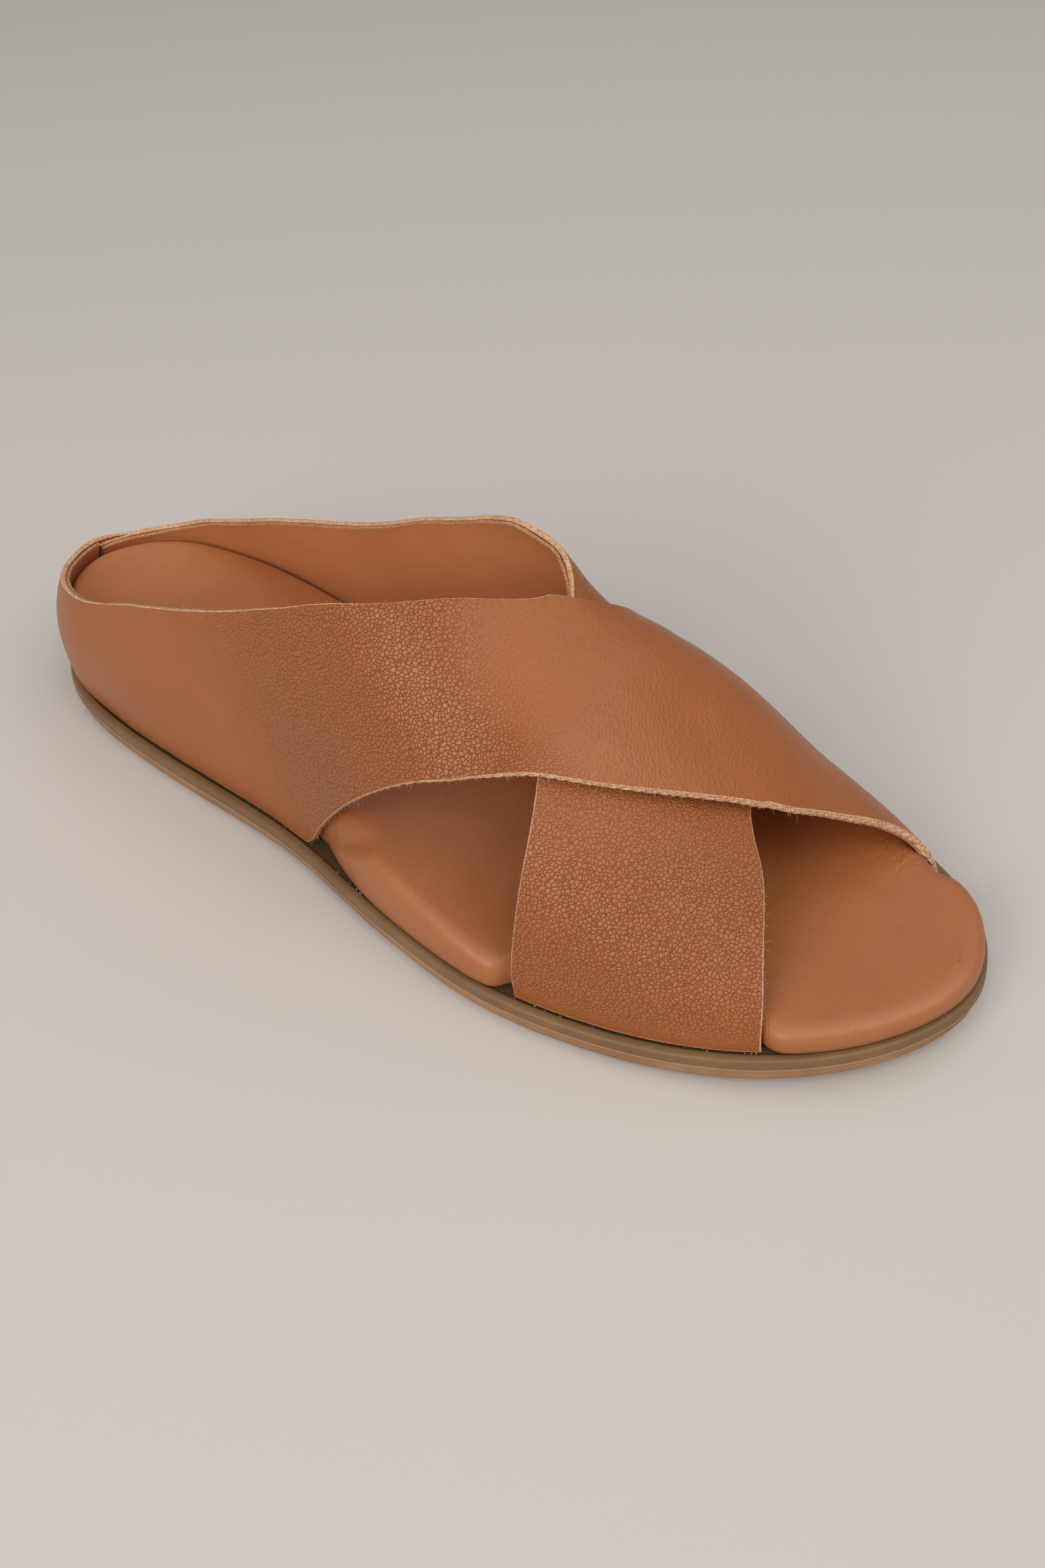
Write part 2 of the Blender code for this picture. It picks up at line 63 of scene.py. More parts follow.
# The outsole's outline, clockwise from the heel: station / length, reach / ball width.
OUTLINE = (
    (0.000, 0.006),
    (0.010, 0.115),
    (0.038, 0.218),
    (0.084, 0.295),
    (0.147, 0.328),
    (0.229, 0.333),
    (0.388, 0.312),
    (0.526, 0.337),
    (0.645, 0.430),
    (0.745, 0.503),
    (0.834, 0.490),
    (0.912, 0.403),
    (0.973, 0.263),
    (1.000, 0.083),
    (0.988, -0.078),
    (0.941, -0.247),
    (0.866, -0.388),
    (0.767, -0.482),
    (0.646, -0.522),
    (0.526, -0.477),
    (0.388, -0.391),
    (0.229, -0.352),
    (0.150, -0.325),
    (0.088, -0.284),
    (0.040, -0.212),
    (0.010, -0.112),
)

# The surface the straps lie on: station / length, top of the over strap and of the under strap
# / instep, sideways shift of the top / ball width.
TOP = (
    (0.000, 0.980, 0.980, 0.000),
    (0.228, 1.000, 1.000, 0.000),
    (0.348, 1.000, 1.020, 0.010),
    (0.427, 0.980, 1.050, 0.020),
    (0.507, 0.895, 1.030, 0.030),
    (0.547, 0.828, 0.950, 0.045),
    (0.568, 0.790, 0.880, 0.052),
    (0.587, 0.755, 0.803, 0.058),
    (0.621, 0.704, 0.712, 0.060),
    (0.666, 0.660, 0.640, 0.058),
    (0.745, 0.510, 0.490, 0.050),
    (0.825, 0.370, 0.360, 0.035),
    (0.905, 0.280, 0.280, 0.015),
    (1.000, 0.220, 0.220, 0.000),
)

# Strap edges: station / length and girth share of the front edge, then of the back edge. Girth runs
# from 0 at the quarter's own foot line, over the top at a half, to 1 at the other foot line.
OVER_STRAP = (
    (-0.035, 0.000, -0.035, 0.090),
    (0.000, 0.000, 0.000, 0.095),
    (0.058, 0.000, 0.058, 0.103),
    (0.116, 0.000, 0.118, 0.114),
    (0.183, 0.000, 0.188, 0.145),
    (0.253, 0.000, 0.268, 0.178),
    (0.323, 0.000, 0.339, 0.213),
    (0.379, 0.000, 0.404, 0.257),
    (0.412, 0.000, 0.450, 0.300),
    (0.424, 0.006, 0.483, 0.336),
    (0.439, 0.029, 0.505, 0.368),
    (0.477, 0.083, 0.525, 0.403),
    (0.517, 0.137, 0.542, 0.436),
    (0.559, 0.195, 0.559, 0.465),
    (0.593, 0.240, 0.575, 0.490),
    (0.615, 0.273, 0.583, 0.505),
    (0.636, 0.298, 0.592, 0.520),
    (0.690, 0.352, 0.608, 0.562),
    (0.747, 0.434, 0.618, 0.615),
    (0.768, 0.467, 0.620, 0.645),
    (0.787, 0.494, 0.622, 0.675),
    (0.804, 0.508, 0.622, 0.700),
    (0.829, 0.562, 0.622, 0.745),
    (0.858, 0.659, 0.622, 0.825),
    (0.887, 0.790, 0.624, 0.910),
    (0.906, 0.900, 0.626, 0.960),
    (0.919, 1.000, 0.628, 1.000),
)
UNDER_STRAP = (
    (0.010, 0.000, 0.010, 0.088),
    (0.058, 0.000, 0.062, 0.090),
    (0.116, 0.000, 0.125, 0.114),
    (0.183, 0.000, 0.193, 0.143),
    (0.253, 0.000, 0.256, 0.166),
    (0.323, 0.000, 0.332, 0.194),
    (0.394, 0.000, 0.394, 0.220),
    (0.455, 0.000, 0.445, 0.243),
    (0.500, 0.000, 0.480, 0.266),
    (0.525, 0.010, 0.508, 0.286),
    (0.556, 0.038, 0.532, 0.303),
    (0.591, 0.080, 0.550, 0.323),
    (0.626, 0.135, 0.562, 0.350),
    (0.662, 0.205, 0.580, 0.405),
    (0.702, 0.305, 0.602, 0.490),
    (0.738, 0.410, 0.624, 0.570),
    (0.768, 0.470, 0.643, 0.635),
    (0.795, 0.515, 0.657, 0.690),
    (0.820, 0.555, 0.666, 0.750),
    (0.836, 0.605, 0.670, 0.805),
    (0.854, 0.696, 0.673, 0.870),
    (0.867, 0.792, 0.674, 0.925),
    (0.874, 0.885, 0.675, 0.965),
    (0.878, 1.000, 0.677, 1.000),
)

# The footbed: station / length, rise of its underside above the outsole / sole, thickness / sole,
# depth of the dish in its top / sole.
FOOTBED = (
    (0.000, 2.05, 1.35, 0.10),
    (0.111, 2.00, 1.38, 0.36),
    (0.276, 1.72, 1.45, 0.32),
    (0.388, 1.12, 1.62, 0.16),
    (0.471, 0.70, 1.62, 0.08),
    (0.551, 0.48, 1.48, 0.08),
    (0.622, 0.30, 1.15, 0.10),
    (0.687, 0.05, 1.00, 0.12),
    (0.788, 0.05, 0.92, 0.14),
    (0.899, 0.05, 0.92, 0.10),
    (1.000, 0.05, 0.92, 0.00),
)

# How far the footbed's edge swells out between the straps: station / length, lateral and medial
# swell / strap wall.
SWELL = (
    (0.000, 0.00, 0.00),
    (0.420, 0.00, 0.00),
    (0.436, 0.30, 0.00),
    (0.460, 0.95, 0.00),
    (0.490, 1.45, 0.00),
    (0.530, 1.75, 0.00),
    (0.565, 1.80, 0.40),
    (0.590, 1.80, 0.60),
    (0.621, 1.80, 0.20),
    (0.650, 1.70, 0.00),
    (0.661, 1.20, 0.00),
    (0.668, 0.30, 0.00),
    (0.672, 0.00, 0.00),
    (0.880, 0.00, 0.00),
    (0.886, 0.80, 0.00),
    (0.897, 1.60, 0.00),
    (0.932, 1.80, 0.10),
    (0.950, 1.82, 1.35),
    (1.000, 1.85, 1.85),
)

# Where the over strap's front edge runs over the footbed's side: station / length, height above
# the sole in millimetres. The footbed swells out only below it.
EDGE_HEIGHT = (
    (0.426, 0.0),
    (0.439, 4.6),
    (0.477, 11.3),
    (0.517, 18.0),
    (0.540, 30.0),
)


class Side(Enum):
    """Which quarter a strap grows from."""

    LATERAL = "lateral"
    MEDIAL = "medial"

    @property
    def other(self) -> "Side":
        """The opposite side."""
        return Side.MEDIAL if self is Side.LATERAL else Side.LATERAL


class Layer(Enum):
    """The two leathers of a strap, which are bonded back to back."""

    LEATHER = "leather"
    LINING = "lining"


# --- arrays and curves


def column(table: Table, index: int, at: Array) -> Array:
    """One column of a table at the given stations.

    Between two rows the value follows a cubic Hermite curve. Its slopes are the mean of the
    neighbouring rises, held to three times the smaller one, so that it never overshoots a row.

    Args:
        table: Rows whose first value is the station.
        index: The column to read.
        at: Stations to read it at.

    Returns:
        The column's values, in the shape of `at`.
    """
    rows = np.asarray(table, dtype=float)
    x, y = rows[:, 0], rows[:, index]
    at = np.clip(np.asarray(at, dtype=float), x[0], x[-1])
    step = np.diff(x)
    rise = np.diff(y) / step
    slope = np.concatenate([[rise[0]], 0.5 * (rise[1:] + rise[:-1]), [rise[-1]]])
    slope[1:-1][rise[1:] * rise[:-1] <= 0] = 0.0
    limit = 3 * np.minimum(np.abs(np.append(rise, rise[-1])), np.abs(np.insert(rise, 0, rise[0])))
    slope = np.clip(slope, -limit, limit)
    k = np.clip(np.searchsorted(x, at, side="right") - 1, 0, len(step) - 1)
    t = (at - x[k]) / step[k]
    return (
        y[k] * (1 + 2 * t) * (1 - t) ** 2
        + y[k + 1] * t * t * (3 - 2 * t)
        + step[k] * (slope[k] * t * (1 - t) ** 2 + slope[k + 1] * t * t * (t - 1))
    )


def ease(value: Array) -> Array:
    """0 below 0, 1 above 1, and 3v^2 - 2v^3 between."""
    value = np.clip(value, 0.0, 1.0)
    return value * value * (3 - 2 * value)


def bell(at: Array, centre: float, width: float) -> Array:
    """A bell curve, exp(-((at - centre) / width)^2)."""
    return np.exp(-(((np.asarray(at) - centre) / width) ** 2))


def ripple(at: Array, pitch: float, seed: int, waves: int = 9) -> Array:
    """An uneven wave between about -1 and 1.

    It is a sum of sines whose lengths scatter from 0.55 to 1.9 times the pitch, each with its own
    phase and weight drawn from the seed.

    Args:
        at: Distances along the wave.
        pitch: Mean wave length.
        seed: Seed of the draws.
        waves: How many sines are added.

    Returns:
        The wave's height at each distance.
    """
    draw = np.random.default_rng(seed)
    lengths = pitch * draw.uniform(0.55, 1.9, waves)
    phases = draw.uniform(0, 2 * math.pi, waves)
    weights = draw.uniform(0.5, 1.0, waves)
    total = np.zeros(np.shape(at))
    for length, phase, weight in zip(lengths, phases, weights):
        total += weight * np.sin(2 * math.pi * np.asarray(at) / length + phase)
    return total / weights.sum() * 1.8


def unit(vectors: Array) -> Array:
    """The vectors at length one."""
    return vectors / np.maximum(np.linalg.norm(vectors, axis=-1, keepdims=True), 1e-12)


def travelled(line: Array) -> Array:
    """The distance from a line's first point to each of its points."""
    return np.append(0, np.cumsum(np.linalg.norm(np.diff(line, axis=0), axis=1)))


def closed_curve(points: Array, count: int) -> Array:
    """A smooth closed curve through the points, at evenly spaced places.

    Each span is a Catmull-Rom cubic, and places are read at equal steps of its length.

    Args:
        points: The control points, (n, 2).
        count: How many places to return.

    Returns:
        Places on the curve, (count, 2).
    """
    before, after, last = (np.roll(points, shift, axis=0) for shift in (1, -1, -2))
    t = np.linspace(0, 1, 120, endpoint=False)[None, :, None]
    p0, p1, p2, p3 = (p[:, None, :] for p in (before, points, after, last))
    curve = 0.5 * (
        2 * p1
        + (p2 - p0) * t
        + (2 * p0 - 5 * p1 + 4 * p2 - p3) * t**2
        + (3 * p1 - p0 - 3 * p2 + p3) * t**3
    )
    curve = curve.reshape(-1, 2)
    ring = np.vstack([curve, curve[:1]])
    arc = travelled(ring)
    at = np.linspace(0, arc[-1], count, endpoint=False)
    return np.stack([np.interp(at, arc, ring[:, k]) for k in (0, 1)], axis=1)


def depth_inside(points: Array, border: Array) -> Array:
    """Distance of plane points from a closed border, positive inside.

    The distance is the least one to the border's edges, and its sign comes from counting how many
    edges a line to one side crosses.

    Args:
        points: Points, (n, 2).
        border: The border's corners in order, (m, 2).

    Returns:
        The signed distances, (n,).
    """
    a, b = border, np.roll(border, -1, axis=0)
    edge = b - a
    away = points[:, None, :] - a[None]
    share = np.clip((away * edge).sum(-1) / np.maximum((edge**2).sum(-1), 1e-12), 0, 1)
    distance = np.linalg.norm(away - edge * share[..., None], axis=-1).min(axis=1)
    above = (a[None, :, 1] > points[:, None, 1]) != (b[None, :, 1] > points[:, None, 1])
    safe = np.where(np.abs(edge[:, 1]) < 1e-12, 1e-12, edge[:, 1])
    cross = a[None, :, 0] + (points[:, None, 1] - a[None, :, 1]) / safe * edge[None, :, 0]
    inside = (above & (points[:, None, 0] < cross)).sum(axis=1) % 2 == 1
    return np.where(inside, distance, -distance)


def read_grid(grid: Array, rows: Array, columns: Array) -> Array:
    """Reads a grid between its points, linear both ways.

    Args:
        grid: Values at even steps from 0 to 1 down and across.
        rows: Shares down the grid, (n,).
        columns: Shares across it, (n, m).

    Returns:
        The values, (n, m).
    """
    row, col = rows * (grid.shape[0] - 1), columns * (grid.shape[1] - 1)
    low_row = np.minimum(row.astype(int), grid.shape[0] - 2)
    low_col = np.minimum(col.astype(int), grid.shape[1] - 2)
    past_row, past_col = (row - low_row)[:, None], col - low_col
    at_rows = grid[low_row] * (1 - past_row) + grid[low_row + 1] * past_row
    pick = np.arange(len(rows))[:, None]
    return at_rows[pick, low_col] * (1 - past_col) + at_rows[pick, low_col + 1] * past_col


# --- meshes


def new_object(name: str, data: bpy.types.ID) -> bpy.types.Object:
    """A new object in the scene."""
    obj = bpy.data.objects.new(name, data)
    bpy.context.scene.collection.objects.link(obj)
    return obj


@dataclass
class Surface:
    """A closed surface before it becomes a piece."""

    points: Array
    quads: Faces
    triangles: Faces = field(default_factory=lambda: np.zeros((0, 3), dtype=np.int64))
    quad_finish: Faces | None = None
    uv: Array | None = None
    marks: dict[str, Array] = field(default_factory=dict)

    def outward(self) -> "Surface":
        """The same surface with its faces turned outward, by the sign of its volume."""
        tris = np.concatenate([self.quads[:, [0, 1, 2]], self.quads[:, [0, 2, 3]], self.triangles])
        a, b, c = (self.points[tris[:, k]] for k in range(3))
        if np.einsum("ij,ij->", a, np.cross(b, c)) < 0:
            self.quads = self.quads[:, ::-1]
            self.triangles = self.triangles[:, ::-1]
        return self

    def piece(self, name: str, finishes: Sequence[bpy.types.Material], slot: str) -> bpy.types.Object:
        """Makes the surface an object that rides on the shoe.

        Args:
            name: The object's name.
            finishes: Materials, in the order that quad_finish counts them.
            slot: The record's material slot; it is not used.

        Returns:
            The new object.
        """
        self.outward()
        mesh = bpy.data.meshes.new(name)
        mesh.from_pydata(self.points.tolist(), [], self.quads.tolist() + self.triangles.tolist())
        for finish in finishes:
            mesh.materials.append(finish)
        if self.quad_finish is not None:
            index = np.concatenate([self.quad_finish, np.zeros(len(self.triangles), dtype=np.int64)])
            mesh.polygons.foreach_set("material_index", index.astype(np.int32))
        if self.uv is not None:
            corner = np.empty(len(mesh.loops), dtype=np.int32)
            mesh.loops.foreach_get("vertex_index", corner)
            layer = mesh.uv_layers.new(name="lay")
            layer.data.foreach_set("uv", self.uv[corner].astype(np.float32).ravel())
        for mark, values in self.marks.items():
            layer = mesh.attributes.new(mark, "FLOAT", "POINT")
            layer.data.foreach_set("value", np.asarray(values, dtype=np.float32).ravel())
        mesh.update()
        mesh.shade_smooth()
        obj = new_object(name, mesh)
        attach(obj, BODY)
        LOG.info("%s: %d points, %d faces", name, len(mesh.vertices), len(mesh.polygons))
        return obj


def tube_faces(rows: int, columns: int) -> Faces:
    """Quads of a grid of rows whose columns close into a loop."""
    i, j = np.meshgrid(np.arange(rows - 1), np.arange(columns), indexing="ij")
    here, ahead, k = i * columns, (i + 1) * columns, (j + 1) % columns
    return np.stack([here + j, here + k, ahead + k, ahead + j], -1).reshape(-1, 4)


def ring_stack(rings: Array, top: CapHeight | None, bottom: CapHeight | None, across: int) -> Surface:
    """A closed solid from rings that lie one above the other.

    The wall is the grid of (ring, place). Each cap is a grid of (place along, share across): its
    rungs run straight between the facing points i and -i of the end ring, and a height function may
    lift their inner points. The rungs shrink to one point at the heel and at the toe.

    Args:
        rings: Points, (levels, count, 3), lowest ring first.
        top: Height of the upper cap from x, share across, the straight rung's z and its length.
        bottom: The same for the lower cap.
        across: Steps across each cap.

    Returns:
        The surface.
    """
    levels, count, _ = rings.shape
    half = count // 2
    points = [rings.reshape(-1, 3)]
    quads = [tube_faces(levels, count)]
    triangles = []
    size = levels * count
    share = np.linspace(0, 1, across + 1)[1:-1]
    for level, height in ((0, bottom), (levels - 1, top)):
        ring = rings[level]
        start, stop = ring[1:half], ring[count - np.arange(1, half)]
        inner = start[:, None] * (1 - share[None, :, None]) + stop[:, None] * share[None, :, None]
        if height is not None:
            length = np.linalg.norm(stop - start, axis=1)[:, None]
            shares = np.broadcast_to(share, inner.shape[:2])
            inner[..., 2] = height(inner[..., 0], shares, inner[..., 2], length)
        base = level * count
        index = np.empty((half - 1, across + 1), dtype=np.int64)
        index[:, 0] = base + np.arange(1, half)
        index[:, -1] = base + count - np.arange(1, half)
        index[:, 1:-1] = size + np.arange(inner.shape[0] * inner.shape[1]).reshape(inner.shape[:2])
        size += inner.shape[0] * inner.shape[1]
        points.append(inner.reshape(-1, 3))
        grid = np.stack([index[:-1, :-1], index[1:, :-1], index[1:, 1:], index[:-1, 1:]], -1)
        heel = np.stack([np.full(across, base), index[0, :-1], index[0, 1:]], -1)
        toe = np.stack([np.full(across, base + half), index[-1, 1:], index[-1, :-1]], -1)
        # The lower cap faces the other way, so its faces are turned round.
        turn = -1 if level == 0 else 1
        quads.append(grid.reshape(-1, 4)[:, ::turn])
        triangles += [heel[:, ::turn], toe[:, ::turn]]
    return Surface(np.concatenate(points), np.concatenate(quads), np.concatenate(triangles))


# --- finishes


class Nodes:
    """Builds a material's nodes in a maker's few steps.

    Wherever a step takes a value, it may be another step's result, a number or a colour.
    """

    def __init__(self, name: str) -> None:
        """Starts a material with the plain surface shader."""
        self.material = bpy.data.materials.new(name)
        self.material.use_nodes = True
        self.tree = self.material.node_tree
        self.shader = self.tree.nodes["Principled BSDF"]
        self.place = self.coordinates((1, 1, 1))

    def put(self, socket: Socket, value: object) -> None:
        """Links a socket to a result, or sets it to a number, a colour or a vector."""
        if isinstance(value, Socket):
            self.tree.links.new(value, socket)
        elif socket.type == "RGBA":
            socket.default_value = (*value, 1.0)
        else:
            socket.default_value = value

    def add(self, kind: str, inputs: dict[str | int, object], **settings: object) -> bpy.types.Node:
        """A node of the kind, with its settings made and its inputs fed."""
        node = self.tree.nodes.new(kind)
        for key, setting in settings.items():
            setattr(node, key, setting)
        for key, value in inputs.items():
            self.put(node.inputs[key], value)
        return node

    def coordinates(self, scale: Sequence[float], uv: bool = False) -> Socket:
        """Object coordinates, or the piece's own map, stretched by the scale."""
        source = self.add("ShaderNodeTexCoord", {}).outputs["UV" if uv else "Object"]
        return self.add("ShaderNodeMapping", {"Vector": source, "Scale": tuple(scale)}).outputs["Vector"]

    def mark(self, name: str) -> Socket:
        """A value stored on the piece's points."""
        return self.add("ShaderNodeAttribute", {}, attribute_name=name).outputs["Fac"]

    def math(self, operation: str, first: object, second: object) -> Socket:
        """One step of arithmetic."""
        return self.add("ShaderNodeMath", {0: first, 1: second}, operation=operation).outputs[0]

    def times(self, *values: object) -> Socket:
        """The product of the values."""
        return reduce(lambda first, second: self.math("MULTIPLY", first, second), values)

    def plus(self, *values: object) -> Socket:
        """The sum of the values."""
        return reduce(lambda first, second: self.math("ADD", first, second), values)

    def less(self, first: object, second: object) -> Socket:
        """The first value less the second."""
        return self.math("SUBTRACT", first, second)

    def step(self, value: Socket, low: float, high: float, start: float = 0.0, end: float = 1.0) -> Socket:
        """A smooth step that goes from start to end while the value goes from low to high."""
        inputs = {"Value": value, "From Min": low, "From Max": high, "To Min": start, "To Max": end}
        return self.add("ShaderNodeMapRange", inputs, interpolation_type="SMOOTHSTEP").outputs["Result"]

    def noise(self, vector: Socket, scale: float, detail: float = 3.0, rough: float = 0.55) -> Socket:
        """Soft noise between 0 and 1."""
        inputs = {"Vector": vector, "Scale": scale, "Detail": detail, "Roughness": rough}
        return self.add("ShaderNodeTexNoise", inputs).outputs["Fac"]

    def warp(self, vector: Socket, scale: float, amount: float) -> Socket:
        """Coordinates pushed about by noise, so that cells lose their straight sides."""
        inputs = {"Vector": vector, "Scale": scale, "Detail": 2.0}
        push = self.add("ShaderNodeTexNoise", inputs).outputs["Color"]
        inputs = {0: push, 1: (amount, amount, amount), 2: vector}
        return self.add("ShaderNodeVectorMath", inputs, operation="MULTIPLY_ADD").outputs[0]

    def cells(self, vector: Socket, scale: float, feature: str = "DISTANCE_TO_EDGE") -> Socket:
        """Distance to the border of the nearest cell, or to its middle."""
        inputs = {"Vector": vector, "Scale": scale}
        return self.add("ShaderNodeTexVoronoi", inputs, feature=feature).outputs["Distance"]

    def blend(self, share: object, first: object, second: object) -> Socket:
        """Mixes two colours by a share."""
        return self.add("ShaderNodeMix", {0: share, 6: first, 7: second}, data_type="RGBA").outputs[2]

    def leather_tone(
        self, tones: Sequence[Colour], scales: Sequence[float], plain: float, clouded: float
    ) -> tuple[Socket, Socket]:
        """A leather's uneven colour.

        Broad mottling runs from the deep to the worn colour, is mostly covered by the plain tone,
        and has small clouds of the worn colour on it.

        Args:
            tones: The plain tone, the deeper dye's and the worn one.
            scales: Scale of the mottling and of the clouds.
            plain: Share of the plain tone over the mottling.
            clouded: Share of the worn colour in the clouds.

        Returns:
            The colour, and the mottling from 0 to 1.
        """
        tone, deep, worn = tones
        mottle = self.noise(self.place, scales[0], 5.0, 0.6)
        clouds = self.noise(self.place, scales[1], 4.0)
        colour = self.blend(self.step(mottle, 0.30, 0.72), deep, worn)
        colour = self.blend(plain, colour, tone)
        return self.blend(self.times(self.step(clouds, 0.45, 0.75), clouded), colour, worn), mottle

    def bump(self, height: Socket, depth: float, below: Socket | None = None) -> Socket:
        """A relief of the given depth, laid over another one."""
        inputs = {"Height": height, "Distance": depth, "Strength": 1.0}
        if below is not None:
            inputs["Normal"] = below
        return self.add("ShaderNodeBump", inputs).outputs["Normal"]

    def finished(
        self, tone: object, roughness: object, normal: Socket, specular: float
    ) -> bpy.types.Material:
        """Feeds the shader and returns the material."""
        feeds = {"Base Color": tone, "Roughness": roughness, "Normal": normal, "Specular IOR Level": specular}
        for key, value in feeds.items():
            self.put(self.shader.inputs[key], value)
        return self.material


@dataclass(frozen=True)
class StrapLeather:
    """Tan full-grain leather: pebbled where it bends, drawn out over the instep, smooth by the heel."""

    tone: Colour = (0.366, 0.111, 0.027)
    deep: Colour = (0.258, 0.072, 0.017)
    worn: Colour = (0.408, 0.132, 0.037)
    # Colour of the painted shade in the grain's creases.
    shaded_crease: Colour = (0.150, 0.038, 0.010)
    scuff: Colour = (0.16, 0.085, 0.05)
    cell: float = 0.88 * MM
    relief: float = 0.17 * MM
    swell: float = 0.2 * MM
    roughness: float = 0.35
    specular: float = 0.42

    def material(self) -> bpy.types.Material:
        """The finish as a material."""
        n = Nodes("strap_leather")
        grain, drawn = n.mark("grain"), n.mark("drawn")
        kept = n.less(1.0, drawn)

        # Pebbles: flat cells between creases. Where the leather is drawn out they become long hairs.
        pebble = n.cells(n.warp(n.place, 700.0, 0.0003), 1 / self.cell)
        shaded_crease = n.step(pebble, 0.0, 0.11)
        round_cells = n.plus(n.times(shaded_crease, 0.62), n.times(n.step(pebble, 0.0, 0.50), 0.38))
        stretched = n.coordinates((1, 0.42, 1), uv=True)
        hair = n.step(n.cells(n.warp(stretched, 600.0, 0.0005), 1.1 / self.cell), 0.0, 0.40)
        height = n.times(n.plus(n.times(round_cells, kept), n.times(hair, drawn)), grain)
        height = n.plus(height, n.times(n.noise(n.place, 2600.0, 2.0), 0.10))
        crease_shade_lines = n.less(1.0, n.plus(n.times(shaded_crease, kept), drawn))
        crease_shade_lines = n.times(n.math("MAXIMUM", crease_shade_lines, 0.0), grain)

        tone, mottle = n.leather_tone((self.tone, self.deep, self.worn), (34.0, 140.0), 0.80, 0.10)
        # Painted shade: the grain's creases are darkened in colour.
        tone = n.blend(n.times(crease_shade_lines, 0.58), tone, self.shaded_crease)
        # Darker towards the sole.
        tone = n.blend(n.times(n.mark("burnish"), 0.45), tone, self.deep)
        scuffs = n.step(n.cells(n.warp(n.place, 90.0, 0.006), 130.0, "F1"), 0.10, 0.22, 1.0, 0.0)
        chips = n.step(n.noise(n.place, 900.0, 3.0, 0.7), 0.60, 0.68)
        tone = n.blend(n.times(scuffs, chips, n.mark("scuffed"), 0.55), tone, self.scuff)

        rough = n.plus(n.times(mottle, 0.12), self.roughness - 0.06, n.times(crease_shade_lines, 0.18))
        waves = n.noise(n.coordinates((1, 1, 1), uv=True), 55.0, 3.0)
        return n.finished(tone, rough, n.bump(waves, self.swell, n.bump(height, self.relief)), self.specular)


@dataclass(frozen=True)
class LiningLeather:
    """Smooth orange-tan lining with faint marks along the strap."""

    # The tone is lighter than the lining's own colour: painted light for the straps' inner side, which the
    # walls shade.
    tone: Colour = (0.63, 0.245, 0.092)
    deep: Colour = (0.52, 0.187, 0.064)
    relief: float = 0.05 * MM
    roughness: float = 0.50
    specular: float = 0.30

    def material(self) -> bpy.types.Material:
        """The finish as a material."""
        n = Nodes("strap_lining")
        along = n.coordinates((0.16, 1.0, 1.0), uv=True)
        marks = n.noise(n.warp(along, 60.0, 0.004), 260.0, 4.0, 0.6)
        mottle = n.noise(n.place, 40.0, 4.0)
        tone = n.blend(0.55, n.blend(n.step(mottle, 0.3, 0.75), self.deep, self.tone), self.tone)
        tone = n.blend(n.times(n.step(marks, 0.52, 0.72), 0.25), tone, self.deep)
        rough = n.plus(n.times(mottle, 0.14), self.roughness - 0.07)
        pores = n.plus(n.times(n.noise(n.place, 1900.0, 3.0), 0.6), marks)
        return n.finished(tone, rough, n.bump(pores, self.relief), self.specular)


@dataclass(frozen=True)
class CutEdge:
    """Raw cut edge: pale, dry and fibrous."""

    name: str = "cut_edge"
    tone: Colour = (0.78, 0.47, 0.28)
    deep: Colour = (0.46, 0.210, 0.095)
    relief: float = 0.28 * MM
    roughness: float = 0.86
    specular: float = 0.25

    def material(self) -> bpy.types.Material:
        """The finish as a material."""
        n = Nodes(self.name)
        fibres = n.noise(n.warp(n.place, 700.0, 0.001), 1900.0, 5.0, 0.7)
        patch = n.noise(n.place, 240.0, 4.0)
        tone = n.blend(n.step(fibres, 0.36, 0.60), self.deep, self.tone)
        tone = n.blend(n.times(n.step(patch, 0.50, 0.75), 0.45), tone, self.deep)
        return n.finished(tone, self.roughness, n.bump(fibres, self.relief), self.specular)


@dataclass(frozen=True)
class FootbedLeather:
    """Smooth padded leather, a little lighter than the straps, with fine pores and small wrinkles."""

    tone: Colour = (0.390, 0.128, 0.038)
    deep: Colour = (0.305, 0.092, 0.025)
    worn: Colour = (0.435, 0.156, 0.052)
    shade: Colour = (0.14, 0.048, 0.018)
    speck: Colour = (0.17, 0.06, 0.03)
    relief: float = 0.045 * MM
    wrinkle: float = 0.20 * MM
    roughness: float = 0.42
    specular: float = 0.42
    coat: tuple[float, float] = (0.20, 0.30)

    def material(self) -> bpy.types.Material:
        """The finish as a material."""
        n = Nodes("footbed_leather")
        tone, mottle = n.leather_tone((self.tone, self.deep, self.worn), (26.0, 120.0), 0.60, 0.18)
        # Painted shade: the lowest band of the cover, where it tucks in toward the sole, is darkened.
        tone = n.blend(n.times(n.mark("tucked_shade"), 0.75), tone, self.shade)
        specks = n.step(n.cells(n.place, 210.0, "F1"), 0.035, 0.06, 1.0, 0.0)
        tone = n.blend(n.times(specks, n.step(mottle, 0.52, 0.60), 0.35), tone, self.speck)
        rough = n.plus(n.times(mottle, 0.16), self.roughness - 0.08)
        cells = n.step(n.cells(n.warp(n.place, 900.0, 0.0005), 1500.0), 0.0, 0.25)
        pores = n.plus(n.times(cells, 0.6), n.noise(n.place, 2400.0, 2.0))
        folds = n.cells(n.warp(n.coordinates((1.0, 0.30, 1.0)), 160.0, 0.005), 300.0)
        wrinkles = n.times(n.step(folds, 0.0, 0.10), n.mark("wrinkled"))
        for key, value in zip(("Coat Weight", "Coat Roughness"), self.coat):
            n.put(n.shader.inputs[key], value)
        normal = n.bump(wrinkles, self.wrinkle, n.bump(pores, self.relief))
        return n.finished(tone, rough, normal, self.specular)


